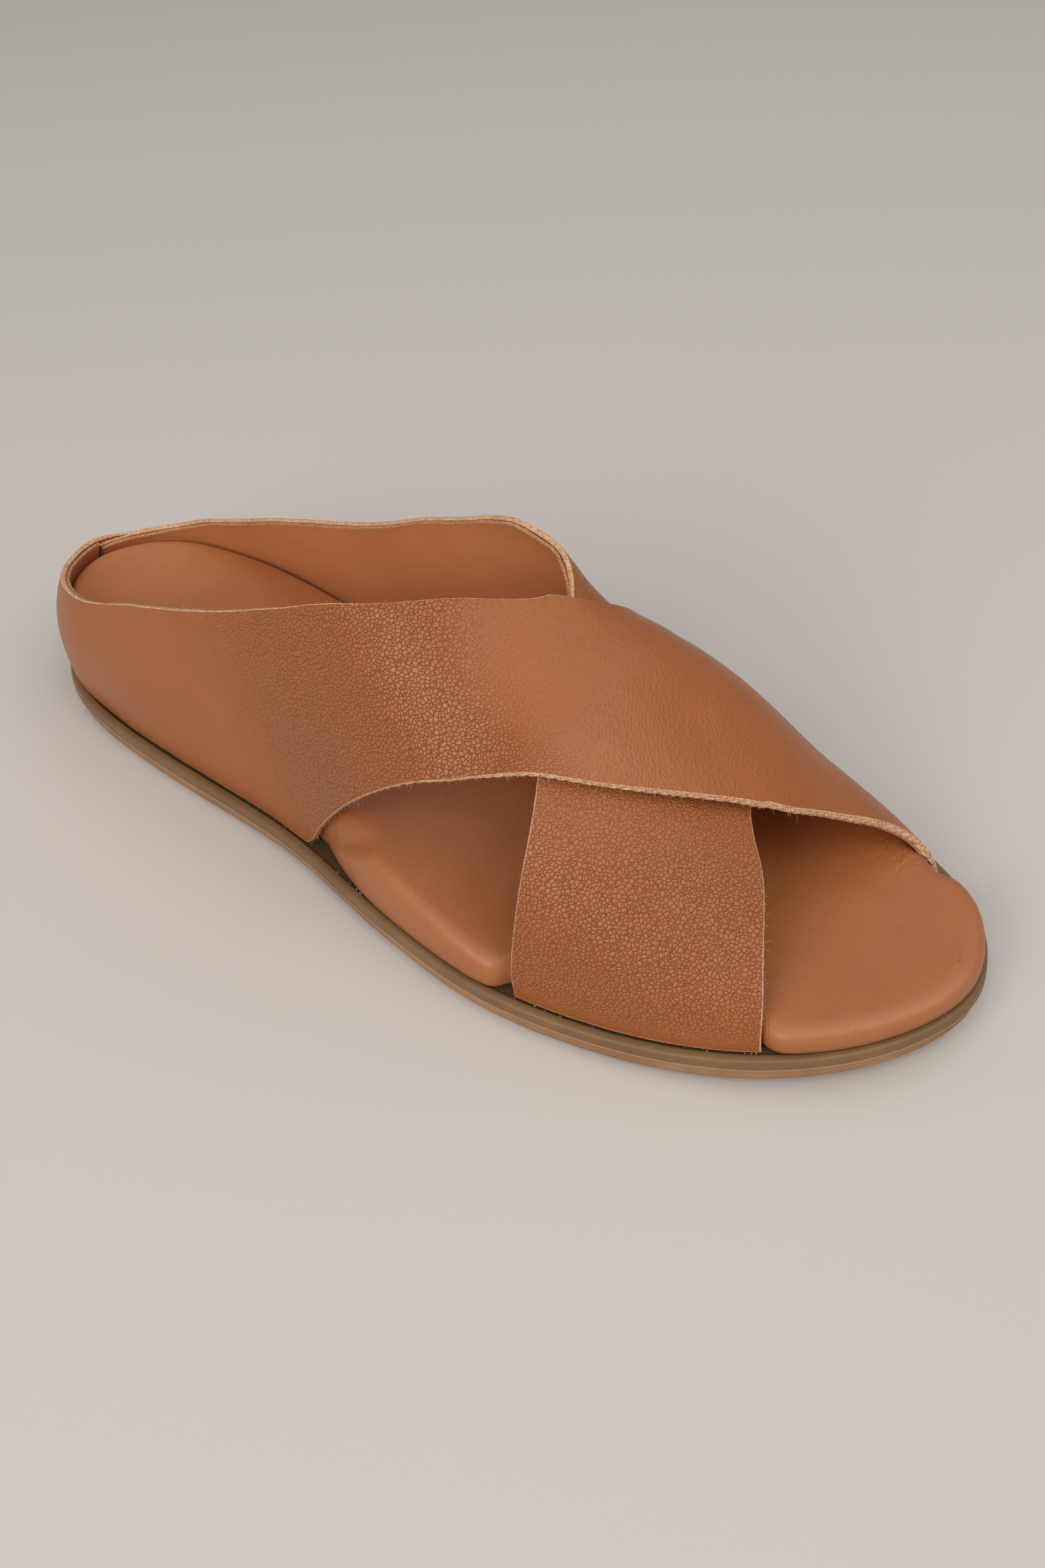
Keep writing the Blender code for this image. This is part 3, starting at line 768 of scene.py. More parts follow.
@dataclass(frozen=True)
class SoleRubber:
    """Moulded sole: satin on the upper tier, dry and grainy on the lower one."""

    name: str
    tone: Colour
    deep: Colour
    roughness: float
    grain: float
    relief: float
    # Colour of the painted highlight on the parting bead.
    bead_highlight: Colour = (0.56, 0.40, 0.25)
    # Colour of the dust and painted shade in the grooves and along the bottom by the floor.
    grime_and_shade: Colour = (0.045, 0.028, 0.016)
    specular: float = 0.35

    def material(self) -> bpy.types.Material:
        """The finish as a material."""
        n = Nodes(self.name)
        streak = n.noise(n.coordinates((0.10, 0.10, 1.6)), 1500.0, 3.0)
        mottle = n.noise(n.place, 60.0, 5.0, 0.6)
        grit = n.noise(n.place, self.grain, 4.0, 0.65)
        tone = n.blend(n.step(mottle, 0.32, 0.70), self.deep, self.tone)
        tone = n.blend(n.times(n.step(grit, 0.50, 0.72), 0.35), tone, self.deep)
        # Painted highlight: the parting bead is lightened in colour.
        tone = n.blend(n.times(n.mark("bead_highlight"), 0.55), tone, self.bead_highlight)
        # Dust and painted shade: the joint and parting grooves and the bottom edge by the floor are darkened.
        tone = n.blend(n.times(n.mark("grime_and_shade"), 0.75), tone, self.grime_and_shade)
        rough = n.plus(n.times(streak, 0.20), self.roughness - 0.10)
        height = n.plus(n.times(streak, 0.35), grit)
        return n.finished(tone, rough, n.bump(height, self.relief), self.specular)


@dataclass(frozen=True)
class PlainFinish:
    """A quiet finish with a little mottling, for hidden or tiny pieces."""

    name: str
    tone: Colour
    deep: Colour
    roughness: float
    relief: float = 0.06 * MM
    specular: float = 0.50

    def material(self) -> bpy.types.Material:
        """The finish as a material."""
        n = Nodes(self.name)
        grit = n.noise(n.place, 700.0, 4.0, 0.65)
        tone = n.blend(n.step(grit, 0.3, 0.7), self.deep, self.tone)
        return n.finished(tone, self.roughness, n.bump(grit, self.relief), self.specular)


# --- the shoe's own surfaces


@dataclass
class Last:
    """The form the shoe is drawn over: its outline, its rises and the surface the straps lie on."""

    length: float = 251.5 * MM
    ball: float = 90 * MM
    instep: float = 88 * MM
    heel_centre: float = 52.5 * MM
    sole: float = 6.45 * MM
    toe_spring: float = 5.5 * MM
    heel_spring: float = 1.0 * MM
    waist_relief: float = 0.6 * MM
    ledge: float = 2.5 * MM
    heel_ledge: float = 0.8 * MM
    wall: float = 2.2 * MM
    gap: float = 0.3 * MM
    heel_height: float = 23 * MM
    heel_lean: tuple[float, float] = (0.15, 0.045)
    heel_bulge: float = 1.9 * MM
    side_power: float = 2.5
    top_power: float = 2.1
    places: int = 5400

    def __post_init__(self) -> None:
        """Works out the outline, its normals and the two foot lines."""
        self.outline = closed_curve(np.asarray(OUTLINE) * (self.length, self.ball), self.places)
        low, high = self.outline.min(axis=0), self.outline.max(axis=0)
        self.centre = 0.5 * (low + high)
        self.outline[:, 0] -= low[0]
        self.centre[0] -= low[0]
        along = unit(np.roll(self.outline, -9, axis=0) - np.roll(self.outline, 9, axis=0))
        self.normal = np.stack([-along[:, 1], along[:, 0]], axis=1)
        foot = self.outline - self.normal * self.ledge_at(self.outline[:, :1])
        heel, toe = int(np.argmin(foot[:, 0])), int(np.argmax(foot[:, 0]))
        self.sides = {
            Side.MEDIAL: self.foot_side(foot, heel, toe, 1),
            Side.LATERAL: self.foot_side(foot, heel, toe, -1),
        }

    def foot_side(self, foot: Array, heel: int, toe: int, step: int) -> tuple[Array, Array]:
        """The foot line of one side, from the heel to the toe, with each point's station."""
        count = (toe - heel) % len(foot) if step > 0 else (heel - toe) % len(foot)
        line = foot[(heel + step * np.arange(count + 1)) % len(foot)]
        arc = travelled(line)
        past = int(np.argmax(line[:, 0] > self.heel_centre))
        station = np.where(np.arange(len(line)) < past, arc / arc[past] * self.heel_centre, line[:, 0])
        return station, line

    def toe_lift(self, x: Array) -> Array:
        """How far the outsole's top is lifted: squares of the way into the toe and into the heel."""
        toe = np.clip((x / self.length - 0.667) / 0.333, 0, 1)
        heel = np.clip(1 - x / (0.07 * self.length), 0, 1)
        return self.toe_spring * toe**2 + self.heel_spring * heel**2

    def ledge_at(self, x: Array) -> Array:
        """How far the outsole stands out beyond the leather."""
        return self.heel_ledge + (self.ledge - self.heel_ledge) * ease((x / self.length - 0.02) / 0.11)

    def wall_lean(self, x: Array, height: Array) -> Array:
        """How far the quarters' wall leans in: a square of the height, less a half sine round the heel."""
        lean = np.interp(x, [0, self.heel_centre, 0.4 * self.length], [*self.heel_lean, 0.0])
        bulge = self.heel_bulge * ease(1.5 - x / self.heel_centre)
        share = np.clip(height / (1.5 * self.heel_height), 0, 1)
        return lean * height**2 / self.heel_height - bulge * np.sin(math.pi * share)

    def waist(self, x: Array) -> Array:
        """How far the underside clears the ground between the heel and the forefoot."""
        share = x / self.length
        return self.waist_relief * ease((share - 0.30) / 0.08) * ease((0.56 - share) / 0.08)

    def foot_line(self, side: Side, station: Array) -> Array:
        """The foot line at a station, which goes on round the heel below 0."""
        own, other = self.sides[side], self.sides[side.other]
        result = []
        for k in (0, 1):
            ahead = np.interp(station, own[0], own[1][:, k])
            behind = np.interp(-station, other[0], other[1][:, k])
            result.append(np.where(station >= 0, ahead, behind))
        return np.stack(result, axis=-1)

    def ring_places(self, steps: int) -> tuple[Array, Array, NDArray[np.bool_]]:
        """Paired places round the outline: heel, medial side, toe, lateral side.

        Args:
            steps: Steps along each side, so that place i faces place -i.

        Returns:
            The places, their outward normals, and whether each is on the lateral side.
        """
        heel, toe = int(np.argmin(self.outline[:, 0])), int(np.argmax(self.outline[:, 0]))
        rows = []
        for start, stop in ((heel, toe), (toe, heel)):
            count = (stop - start) % len(self.outline)
            rows.append(start + np.linspace(0, count, steps, endpoint=False))
        place = np.concatenate(rows)
        low = np.floor(place).astype(int)
        share = (place - low)[:, None]
        first, second = low % len(self.outline), (low + 1) % len(self.outline)
        points = self.outline[first] * (1 - share) + self.outline[second] * share
        normal = unit(self.normal[first] * (1 - share) + self.normal[second] * share)
        return points, normal, np.arange(len(place)) > steps

    def surface(self, side: Side, over: bool, station: Array, girth: Array, offset: Array) -> Array:
        """Points of the strap surface.

        At each station the section is a superellipse from one foot line over the top to the other:
        across, the foot's reach times |cos| to a power, and up, the top's height times sin to a
        power. The point then moves along the surface's normal by the offset.

        Args:
            side: The quarter that girth 0 lies on.
            over: Whether the over strap's top is read, or the under strap's.
            station: Distance from the heel's back.
            girth: Share of the way over the foot.
            offset: Distance to move outward.

        Returns:
            Points, in the shape of `station` with a last axis of 3.
        """

        def place(s: Array, g: Array) -> Array:
            """The section's point at a station and a girth share."""
            top = column(TOP, 1 if over else 2, s / self.length) * self.instep
            shift = column(TOP, 3, s / self.length) * self.ball
            foot = np.where((g < 0.5)[..., None], self.foot_line(side, s), self.foot_line(side.other, s))
            angle = math.pi * np.clip(g, 0, 1)
            reach_share = np.abs(np.cos(angle)) ** (2 / self.side_power)
            rise = np.sin(angle) ** (2 / self.top_power)
            low = self.sole + self.gap + self.toe_lift(foot[..., 0])
            height = (top - low) * rise
            hub = np.stack([np.maximum(s, self.heel_centre), shift], axis=-1)
            spoke = foot - hub
            reach = np.hypot(spoke[..., 0], spoke[..., 1])
            scale = reach_share * (1 - self.wall_lean(s, height) / reach)
            flat = hub + spoke * scale[..., None]
            return np.concatenate([flat, (low + height)[..., None]], axis=-1)

        station, girth = np.broadcast_arrays(np.asarray(station, float), np.asarray(girth, float))
        points = place(station, girth)
        ds, dg = 0.8 * MM, 0.006
        along = place(station + ds, girth) - place(station - ds, girth)
        across = place(station, np.clip(girth + dg, 0, 1)) - place(station, np.clip(girth - dg, 0, 1))
        turned = (along, across) if side is Side.LATERAL else (across, along)
        moved = points + unit(np.cross(*turned)) * np.broadcast_to(offset, girth.shape)[..., None]
        moved[..., 2] = np.maximum(moved[..., 2], self.sole + self.gap + self.toe_lift(moved[..., 0]))
        moved[..., :2] -= self.centre
        return moved


# --- sub-assemblies


@dataclass
class Outsole:
    """The two-tier outsole, with a parting line and a groove at the leather's foot."""

    last: Last
    steps: int = 300
    across: int = 20
    parting: float = 0.56
    unevenness: float = 0.04 * MM
    groove_pitch: float = 9 * MM
    groove_depth: float = 0.5 * MM
    upper_rubber: SoleRubber = SoleRubber(
        "khaki_tier", (0.235, 0.130, 0.057), (0.186, 0.099, 0.041), 0.42, 1400.0, 0.05 * MM
    )
    lower_rubber: SoleRubber = SoleRubber(
        "sandy_tier", (0.430, 0.230, 0.110), (0.320, 0.165, 0.075), 0.80, 900.0, 0.20 * MM
    )

    def rings(self, profile: Table, seed: int) -> Array:
        """Rings of a tier: each is the outline, inset in plan and lifted with the toe and the heel.

        Args:
            profile: Rows of inset in millimetres and height as a share of the sole.
            seed: Seed of the edge's faint unevenness.

        Returns:
            Points, (levels, count, 3).
        """
        flat, normal, _ = self.last.ring_places(self.steps)
        around = travelled(flat)
        fade = ease(np.minimum(around, around[-1] - around) / (8 * MM))
        uneven = self.unevenness * ripple(around, 9 * MM, seed) * fade
        rows = []
        for inset, share in profile:
            ring = flat - normal * (inset * MM + uneven)[:, None]
            low = self.last.waist(ring[:, 0]) * max(0.0, 1 - share / 0.3)
            height = share * self.last.sole + self.last.toe_lift(ring[:, 0]) + low
            rows.append(np.column_stack([ring - self.last.centre, height]))
        return np.stack(rows)

    def tier(
        self,
        name: str,
        profile: Table,
        rubber: SoleRubber,
        grime_and_shade: Sequence[float],
        seed: int,
        underside: CapHeight | None = None,
    ) -> None:
        """Builds and dresses one tier.

        Args:
            name: The piece's name.
            profile: Its side, as `rings` takes it.
            rubber: Its finish.
            grime_and_shade: How much dust and painted shade each ring gets, from 0 to 1.
            seed: Seed of its unevenness.
            underside: Height of its lower face, or None for a flat one.
        """
        rings = self.rings(profile, seed)
        surface = ring_stack(rings, None, underside, self.across)
        insets = np.array([inset for inset, _ in profile])
        # The bead that stands out at the parting gets a painted highlight.
        for mark, values in (("grime_and_shade", grime_and_shade), ("bead_highlight", (insets < 0).astype(float))):
            surface.marks[mark] = np.zeros(len(surface.points))
            surface.marks[mark][: rings.shape[0] * rings.shape[1]] = np.repeat(values, rings.shape[1])
        piece = surface.piece(name, [rubber.material()], "outsole")
        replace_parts(piece, "outsole")

    def tread(self, x: Array, share: Array, z: Array, _: Array) -> Array:
        """The underside: the straight rung, with shallow cross grooves inside the border."""
        station = x + self.last.centre[0]
        inside = ease(share / 0.16) * ease((1 - share) / 0.16)
        way = station / self.last.length
        grip = ease((way - 0.06) / 0.04) * ease((0.95 - way) / 0.04)
        groove = 1 - ease((np.abs((station / self.groove_pitch) % 1 - 0.5) - 0.10) / 0.08)
        return z + self.groove_depth * groove * inside * grip

    def build(self) -> None:
        """Builds both tiers."""
        split = self.parting
        # The ring darkening is dust and painted shade: in the joint and parting grooves, and along the bottom
        # edge by the floor.
        self.tier(
            "sandy_lower_tier",
            ((1.45, 0.0), (1.05, 0.015), (0.80, 0.05), (0.66, 0.11), (0.62, 0.20), (0.60, 0.30),
             (0.60, 0.42), (0.62, split - 0.05), (0.80, split - 0.02), (1.6, split - 0.012)),
            self.lower_rubber, (0.5, 0.3, 0.1, 0, 0, 0, 0, 0.1, 0.6, 1.0), 3, self.tread,
        )
        self.tier(
            "khaki_upper_tier",
            ((1.8, split), (0.60, split), (0.12, split + 0.005), (-0.08, split + 0.025),
             (-0.12, split + 0.055), (0.05, split + 0.085), (0.05, 0.72), (0.05, 0.80),
             (0.08, 0.87), (0.20, 0.94), (0.45, 0.985), (0.80, 1.0), (1.40, 1.0), (1.95, 1.0),
             (2.20, 0.985), (2.40, 0.955), (2.8, 0.945), (6.0, 0.95)),
            self.upper_rubber,
            (1, 1, 0.5, 0, 0, 0.15, 0, 0, 0, 0, 0, 0, 0.05, 0.25, 0.8, 1, 1, 1), 4,
        )


@dataclass
class Footbed:
    """The padded, leather-covered footbed, rounded at its edge and dished on top."""

    last: Last
    steps: int = 300
    across: int = 30
    round_over: tuple[float, float] = (2.2 * MM, 4.6 * MM)
    pucker: float = 0.10 * MM
    slump: float = 0.12 * MM
    swell_fade: float = 4.0 * MM
    leather: FootbedLeather = FootbedLeather()

    def heights(self, x: Array) -> tuple[Array, Array, Array]:
        """Underside, top edge and dish of the footbed at a distance from the heel's back."""
        share, sole = x / self.last.length, self.last.sole
        rise = np.maximum(column(FOOTBED, 1, share) - 0.05, 0) * sole
        low = sole + self.last.gap + self.last.toe_lift(x) + rise
        return low, low + column(FOOTBED, 2, share) * sole, column(FOOTBED, 3, share) * sole

    def edge_inset(self, x: Array, lateral: NDArray[np.bool_], height: Array) -> Array:
        """How far in the edge stays: inside the quarters' wall, less the swell between the straps."""
        share, wall = x / self.last.length, self.last.wall
        swell = wall * np.where(lateral, column(SWELL, 1, share), column(SWELL, 2, share))
        stations, heights = np.transpose(EDGE_HEIGHT)
        under_edge = np.interp(share, stations, heights * MM)
        swell = swell * np.where(lateral, ease((under_edge - height) / self.swell_fade), 1.0)
        lean = self.last.wall_lean(x, height) + 0.025 * height
        return self.last.ledge_at(x) + wall + 1.2 * self.last.gap + lean - swell

    def build(self) -> None:
        """Builds and dresses the footbed.

        The side is a quarter of a superellipse: from the sole it bulges out to its fullest at two
        fifths of its height, then rolls over to the top. Faint puckers ride on the roll. A thin
        skirt of the cover hides the wedge underneath.
        """
        flat, normal, lateral = self.last.ring_places(self.steps)
        around = travelled(flat)
        fade = ease(np.minimum(around, around[-1] - around) / (12 * MM))
        sole, gap = self.last.sole, self.last.gap
        angle = np.radians(np.concatenate([[-80, -80], np.linspace(-80, 0, 8), np.linspace(0, 90, 22)[1:]]))
        rows, tucked_shade = [], []
        open_edge = ease((flat[:, 0] / self.last.length - 0.38) / 0.08)
        round_over = self.round_over[0] + (self.round_over[1] - self.round_over[0]) * open_edge
        for k, a in enumerate(angle):
            if a < 0:
                extra = 0.75 * MM * (1 - np.cos(a) ** 0.9)
                share = 0.40 * (1 + np.sin(a) / np.sin(np.radians(80)))
            else:
                extra = round_over * (1 - np.cos(a) ** 0.72)
                share = 0.40 + 0.585 * np.sin(a) ** 0.86
            extra = 1.0 * MM if k < 2 else extra
            low, high, _ = self.heights(flat[:, 0])
            base = sole + gap + self.last.toe_lift(flat[:, 0])
            height = low - base if k == 0 else share * (high - base)
            pucker = self.pucker * ripple(around, 7 * MM, 21) * fade * math.cos(a) ** 2
            inset = self.edge_inset(flat[:, 0], lateral, height + gap) + extra + np.abs(pucker)
            ring = flat - normal * inset[:, None]
            low, high, _ = self.heights(ring[:, 0])
            base = sole + gap + self.last.toe_lift(ring[:, 0])
            level = low + 0.02 * MM if k == 0 else base + share * (high - base)
            rows.append(np.column_stack([ring - self.last.centre, level]))
            # The lowest band of the side gets painted shade.
            tucked_shade.append(1 - ease((share - 0.01) / 0.13))
        rings = np.stack(rows)
        surface = ring_stack(rings, self.dished, self.underside, self.across)
        size = rings.shape[0] * rings.shape[1]
        dark = np.zeros(len(surface.points))
        dark[:size] = np.repeat(tucked_shade, rings.shape[1])
        x, y = surface.points[:, 0], surface.points[:, 1]
        lateral_folds = bell(x, 0.083, 0.010) * ease((-y - 0.018) / 0.012)
        medial_folds = 0.7 * bell(x, 0.096, 0.008) * ease((y - 0.02) / 0.01)
        surface.marks = {"tucked_shade": dark, "wrinkled": np.clip(lateral_folds + medial_folds, 0, 1)}
        piece = surface.piece("footbed_pad", [self.leather.material()], "footbed")
        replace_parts(piece, "footbed")

    def dished(self, x: Array, share: Array, level: Array, length: Array) -> Array:
        """Height of the top: a half sine of the dish below the rung, with slow soft unevenness."""
        station = x + self.last.centre[0]
        dish = self.heights(station)[2] * ease(length / (40 * MM))
        across = np.sin(math.pi * share)
        slump = self.slump * ripple(station + 0.02 * share, 45 * MM, 31)
        return level - (dish + slump) * across

    def underside(self, x: Array, _share: Array, _level: Array, _length: Array) -> Array:
        """Height of the underside."""
        return self.heights(x + self.last.centre[0])[0] + 0.02 * MM


@dataclass
class Strap:
    """One strap: two leathers bonded back to back and cut raw all round."""

    last: Last
    name: str
    side: Side
    table: Table
    over: bool
    rows: int
    middle: int = 58
    leather_depth: float = 1.25 * MM
    split: float = 0.05 * MM
    corner: float = 0.32 * MM
    setback: float = 0.10 * MM
    peel: float = 0.10 * MM
    girth_span: float = 1.35
    clearance: float = 0.35 * MM
    run_ahead: float = 26 * MM
    run_behind: float = 15 * MM
    press: float = 0.30 * MM
    seam_step: float = 0.8 * MM
    lap: float = 10 * MM
    seed: int = 50

    def __post_init__(self) -> None:
        """Keys the table's rows by their distance along the strap and smooths both edges."""
        table = np.asarray(self.table, dtype=float)
        middle = 0.5 * (table[:, 0:2] + table[:, 2:4]) * (1.0, 0.5)
        arc = travelled(middle)
        keyed = np.column_stack([arc / arc[-1], table])
        self.seam_end = keyed[1, 0]
        self.fine = np.linspace(0, 1, 801)
        reach = 40
        weight = bell(np.arange(-reach, reach + 1), 0.0, 8.0)
        edges = [column(keyed, k, self.fine) for k in (1, 2, 3, 4)]
        edges = [np.pad(edge, reach, mode="reflect", reflect_type="odd") for edge in edges]
        self.edges = [np.convolve(edge, weight / weight.sum(), "valid") for edge in edges]

    def lay(self, along: Array, across: Array) -> tuple[Array, Array]:
        """Stations and girth shares at shares along the strap and across from its front edge."""
        front_s, front_g, back_s, back_g = (np.interp(along, self.fine, edge) for edge in self.edges)
        station = (front_s * (1 - across) + back_s * across) * self.last.length
        return station, np.clip(front_g * (1 - across) + back_g * across, 0.0, 1.0)

    def border(self, mirrored: bool) -> Array:
        """The strap's outline in a plane of station and girth, seen from its own side or the other."""
        span = self.girth_span * self.last.ball
        along = np.linspace(0, 1, 90)
        edges = []
        for across, order in ((0.0, 1), (1.0, -1)):
            station, girth = self.lay(along, np.full_like(along, across))
            girth = (1 - girth if mirrored else girth) * span
            edges.append(np.stack([station, girth], axis=1)[::order])
        return np.vstack(edges)

    def lift(self, under: "Strap | None") -> Array:
        """How far the strap stands off its surface, on a grid of shares along and across.

        Outside the other strap it eases up, over a run behind it and a longer one ahead of it. It
        rides on the strap with a small clearance, and is pressed down in the middle of the crossing.
        Near the back seam it steps out over the quarter it laps.

        Args:
            under: The strap it crosses, or None.

        Returns:
            Heights, (141, 61).
        """
        along, across = np.linspace(0, 1, 141)[:, None], np.linspace(0, 1, 61)[None, :]
        along, across = np.broadcast_arrays(along, across)
        station, girth = self.lay(along, across)
        if under is None:
            return np.zeros_like(station)
        span = self.girth_span * self.last.ball
        points = np.stack([station.ravel(), girth.ravel() * span], axis=1)
        inside = depth_inside(points, under.border(True)).reshape(station.shape)
        own = depth_inside(points, self.border(False)).reshape(station.shape)
        spine_station, spine_girth = under.lay(np.linspace(0, 1, 90), np.full(90, 0.5))
        ahead = station > np.interp(1 - girth, spine_girth, spine_station)
        run = np.where(ahead, self.run_ahead, self.run_behind)
        ride = (self.last.wall + self.clearance) * ease((inside + run) / run)
        pressed = self.press * ease((np.minimum(inside, own) - 5 * MM) / (6 * MM))
        seam = self.seam_step * ease((0.030 - station / self.last.length) / 0.040)
        return ride - pressed + seam

    def relief(self, along: Array, across: Array) -> Array:
        """Soft waves of the leather: two slow ripples along the strap, fading at its feet."""
        metres = along * 0.33
        wave = 0.09 * ripple(metres + 0.05 * across, 80 * MM, self.seed)
        wave = wave + 0.03 * ripple(metres - 0.04 * across, 36 * MM, self.seed + 1)
        return wave * MM * ease(along / 0.12) * ease((1 - along) / 0.10)

    def layer(self, layer: Layer, under: "Strap | None") -> Surface:
        """One leather of the strap as a closed shell.

        The grid's rows run along the strap. Its columns close into a loop: the outer face from the
        front edge to the back edge, the rolled back edge, the inner face back again, and the rolled
        front edge. Columns stand closer together near the edges.

        Args:
            layer: Which leather.
            under: The strap it crosses, or None.

        Returns:
            The shell, with its finish numbers, map and marks.
        """
        leather = layer is Layer.LEATHER
        outer = 0.0 if leather else -(self.leather_depth + self.split)
        depth = self.leather_depth if leather else self.last.wall - self.leather_depth - self.split
        setback = 0.0 if leather else self.setback
        # The over strap's lining stops where its thinned leather starts to lap the under strap.
        laps = under is not None
        start = 0.77 * self.seam_end if laps and not leather else 0.0
        along = np.linspace(start, 1, self.rows)
        coarse = np.linspace(0, 1, 25)
        station, girth = self.lay(along[:, None], coarse[None, :])
        mid = self.last.surface(self.side, self.over, station, girth, np.zeros_like(station))
        width = np.linalg.norm(np.diff(mid, axis=1), axis=2).sum(axis=1)
        travel = travelled(mid[:, 12])

        r = min(self.corner, 0.45 * depth)
        near = np.array([r, 0.55 * MM, 0.95 * MM, 1.5 * MM, 2.3 * MM, 3.4 * MM, 4.8 * MM])
        even = np.linspace(0, 1, self.middle + 2)[1:-1]
        front = np.broadcast_to(near, (self.rows, len(near)))
        middle = near[-1] + even[None, :] * (width - 2 * near[-1])[:, None]
        face = np.concatenate([front, middle, width[:, None] - front[:, ::-1]], axis=1)
        roll_in = np.array([0.30 * r, 0.0, 0.0, 0.0, 0.30 * r])
        roll_down = np.array([0.30 * r, r, 0.5 * depth, depth - r, depth - 0.30 * r])
        back_roll = width[:, None] - roll_in[None, :]
        front_roll = np.broadcast_to(roll_in, (self.rows, 5))
        reach = np.concatenate([face, back_roll, face[:, ::-1], front_roll], axis=1)
        k = face.shape[1]
        down = np.concatenate([np.zeros(k), roll_down, np.full(k, depth), roll_down[::-1]])
        finish = np.zeros(2 * k + 10, dtype=np.int64)
        finish[k - 1 : k + 5] = 1
        finish[2 * k + 4 :] = 1

        seed = self.seed + (10 if leather else 20)
        waves = [
            depth_mm * MM * ripple(travel, pitch_mm * MM, seed + k)
            for k, (depth_mm, pitch_mm) in enumerate(((0.06, 2.3), (0.06, 16), (0.05, 2.7), (0.06, 19)))
        ]
        uneven, uneven_back = waves[0] + waves[1], waves[2] + waves[3]
        from_front, from_back = reach, width[:, None] - reach
        nudge = (uneven + setback)[:, None] * ease(1 - from_front / (3 * MM))
        nudge -= (uneven_back + setback)[:, None] * ease(1 - from_back / (3 * MM))
        share = np.clip((reach + nudge) / width[:, None], 0.0, 1.0)

        broad = np.broadcast_to(along[:, None], share.shape)
        lift = read_grid(self.lift(under), along, share) + self.relief(broad, share)
        edge_near = np.minimum(from_front, from_back)
        loose = 0.5 + 0.5 * ripple(travel, 17 * MM, self.seed + 5)
        peel = self.peel * ease(1 - edge_near / (2.5 * MM)) * loose[:, None]
        lift = lift + (peel if leather else -peel)
        thinned = 0.5 * ease(1 - travel / self.lap)[:, None] * (laps and leather)
        lift = lift - depth * thinned
        station, girth = self.lay(broad, share)
        sunk = down[None, :] * (1 - thinned)
        points = self.last.surface(self.side, self.over, station, girth, lift + outer - sunk)

        loop = share.shape[1]
        quads, fans = [tube_faces(self.rows, loop)], []
        for base, turn in ((0, 1), ((self.rows - 1) * loop, -1)):
            top = base + np.arange(k)
            bottom = base + 2 * k + 4 - np.arange(k)
            quads.append(np.stack([top[:-1], top[1:], bottom[1:], bottom[:-1]], -1)[:, ::turn])
            back = base + np.arange(k - 1, k + 6)
            fore = base + np.append(np.arange(2 * k + 4, 2 * k + 10), 0)
            for strip in (back, fore):
                fans.append(np.stack([np.full(5, strip[0]), strip[1:-1], strip[2:]], -1)[:, ::turn])
        surface = Surface(points.reshape(-1, 3), np.concatenate(quads), np.concatenate(fans))
        ends = np.ones(2 * (k - 1), dtype=np.int64)
        surface.quad_finish = np.concatenate([np.tile(finish, self.rows - 1), ends])
        surface.uv = np.stack([np.broadcast_to(travel[:, None], share.shape), reach], axis=-1).reshape(-1, 2)
        surface.marks = self.marks(broad, share, points)
        return surface

    def marks(self, along: Array, across: Array, points: Array) -> dict[str, Array]:
        """Where the leather is grained, drawn out, darker towards the sole and scuffed, each from 0 to 1."""
        station = points[..., 0] + self.last.centre[0]
        height = points[..., 2] - self.last.sole - self.last.toe_lift(station)
        low = 1 - ease(height / (7 * MM))
        if self.over:
            bend = along - 0.13 * (1 - across)
            grain = 0.14 + 0.86 * ease((bend - 0.24) / 0.18) * (1 - 0.72 * ease((bend - 0.53) / 0.12))
            drawn = ease((bend - 0.53) / 0.09)
            scuffed = 0 * low
        else:
            body = ease((along - 0.45) / 0.15)
            grain = 0.22 + 0.78 * body
            drawn = 0.5 * ease((along - 0.50) / 0.06) * (1 - ease((along - 0.80) / 0.06))
            scuffed = low * ease((along - 0.6) / 0.1)
        grain = grain * (1 - 0.75 * low)
        # Darker towards the sole, more on the over strap.
        burnish = low * (0.9 if self.over else 0.35)
        return {"grain": grain, "drawn": drawn * 0.85, "burnish": burnish, "scuffed": scuffed}

    def edge_line(self, back: bool, along: Array, under: "Strap | None") -> tuple[Array, Array]:
        """Points in the middle of a cut edge, and the way out of it along the surface."""
        grid = self.lift(under)[:, -1 if back else 0]
        lift = np.interp(along, np.linspace(0, 1, len(grid)), grid)
        edge, inside = (1.0, 0.985) if back else (0.0, 0.015)
        ends = []
        for across in (edge, inside):
            station, girth = self.lay(along, np.full_like(along, across))
            ends.append(self.last.surface(self.side, self.over, station, girth, lift - 0.45 * self.last.wall))
        return ends[0], unit(ends[0] - ends[1])


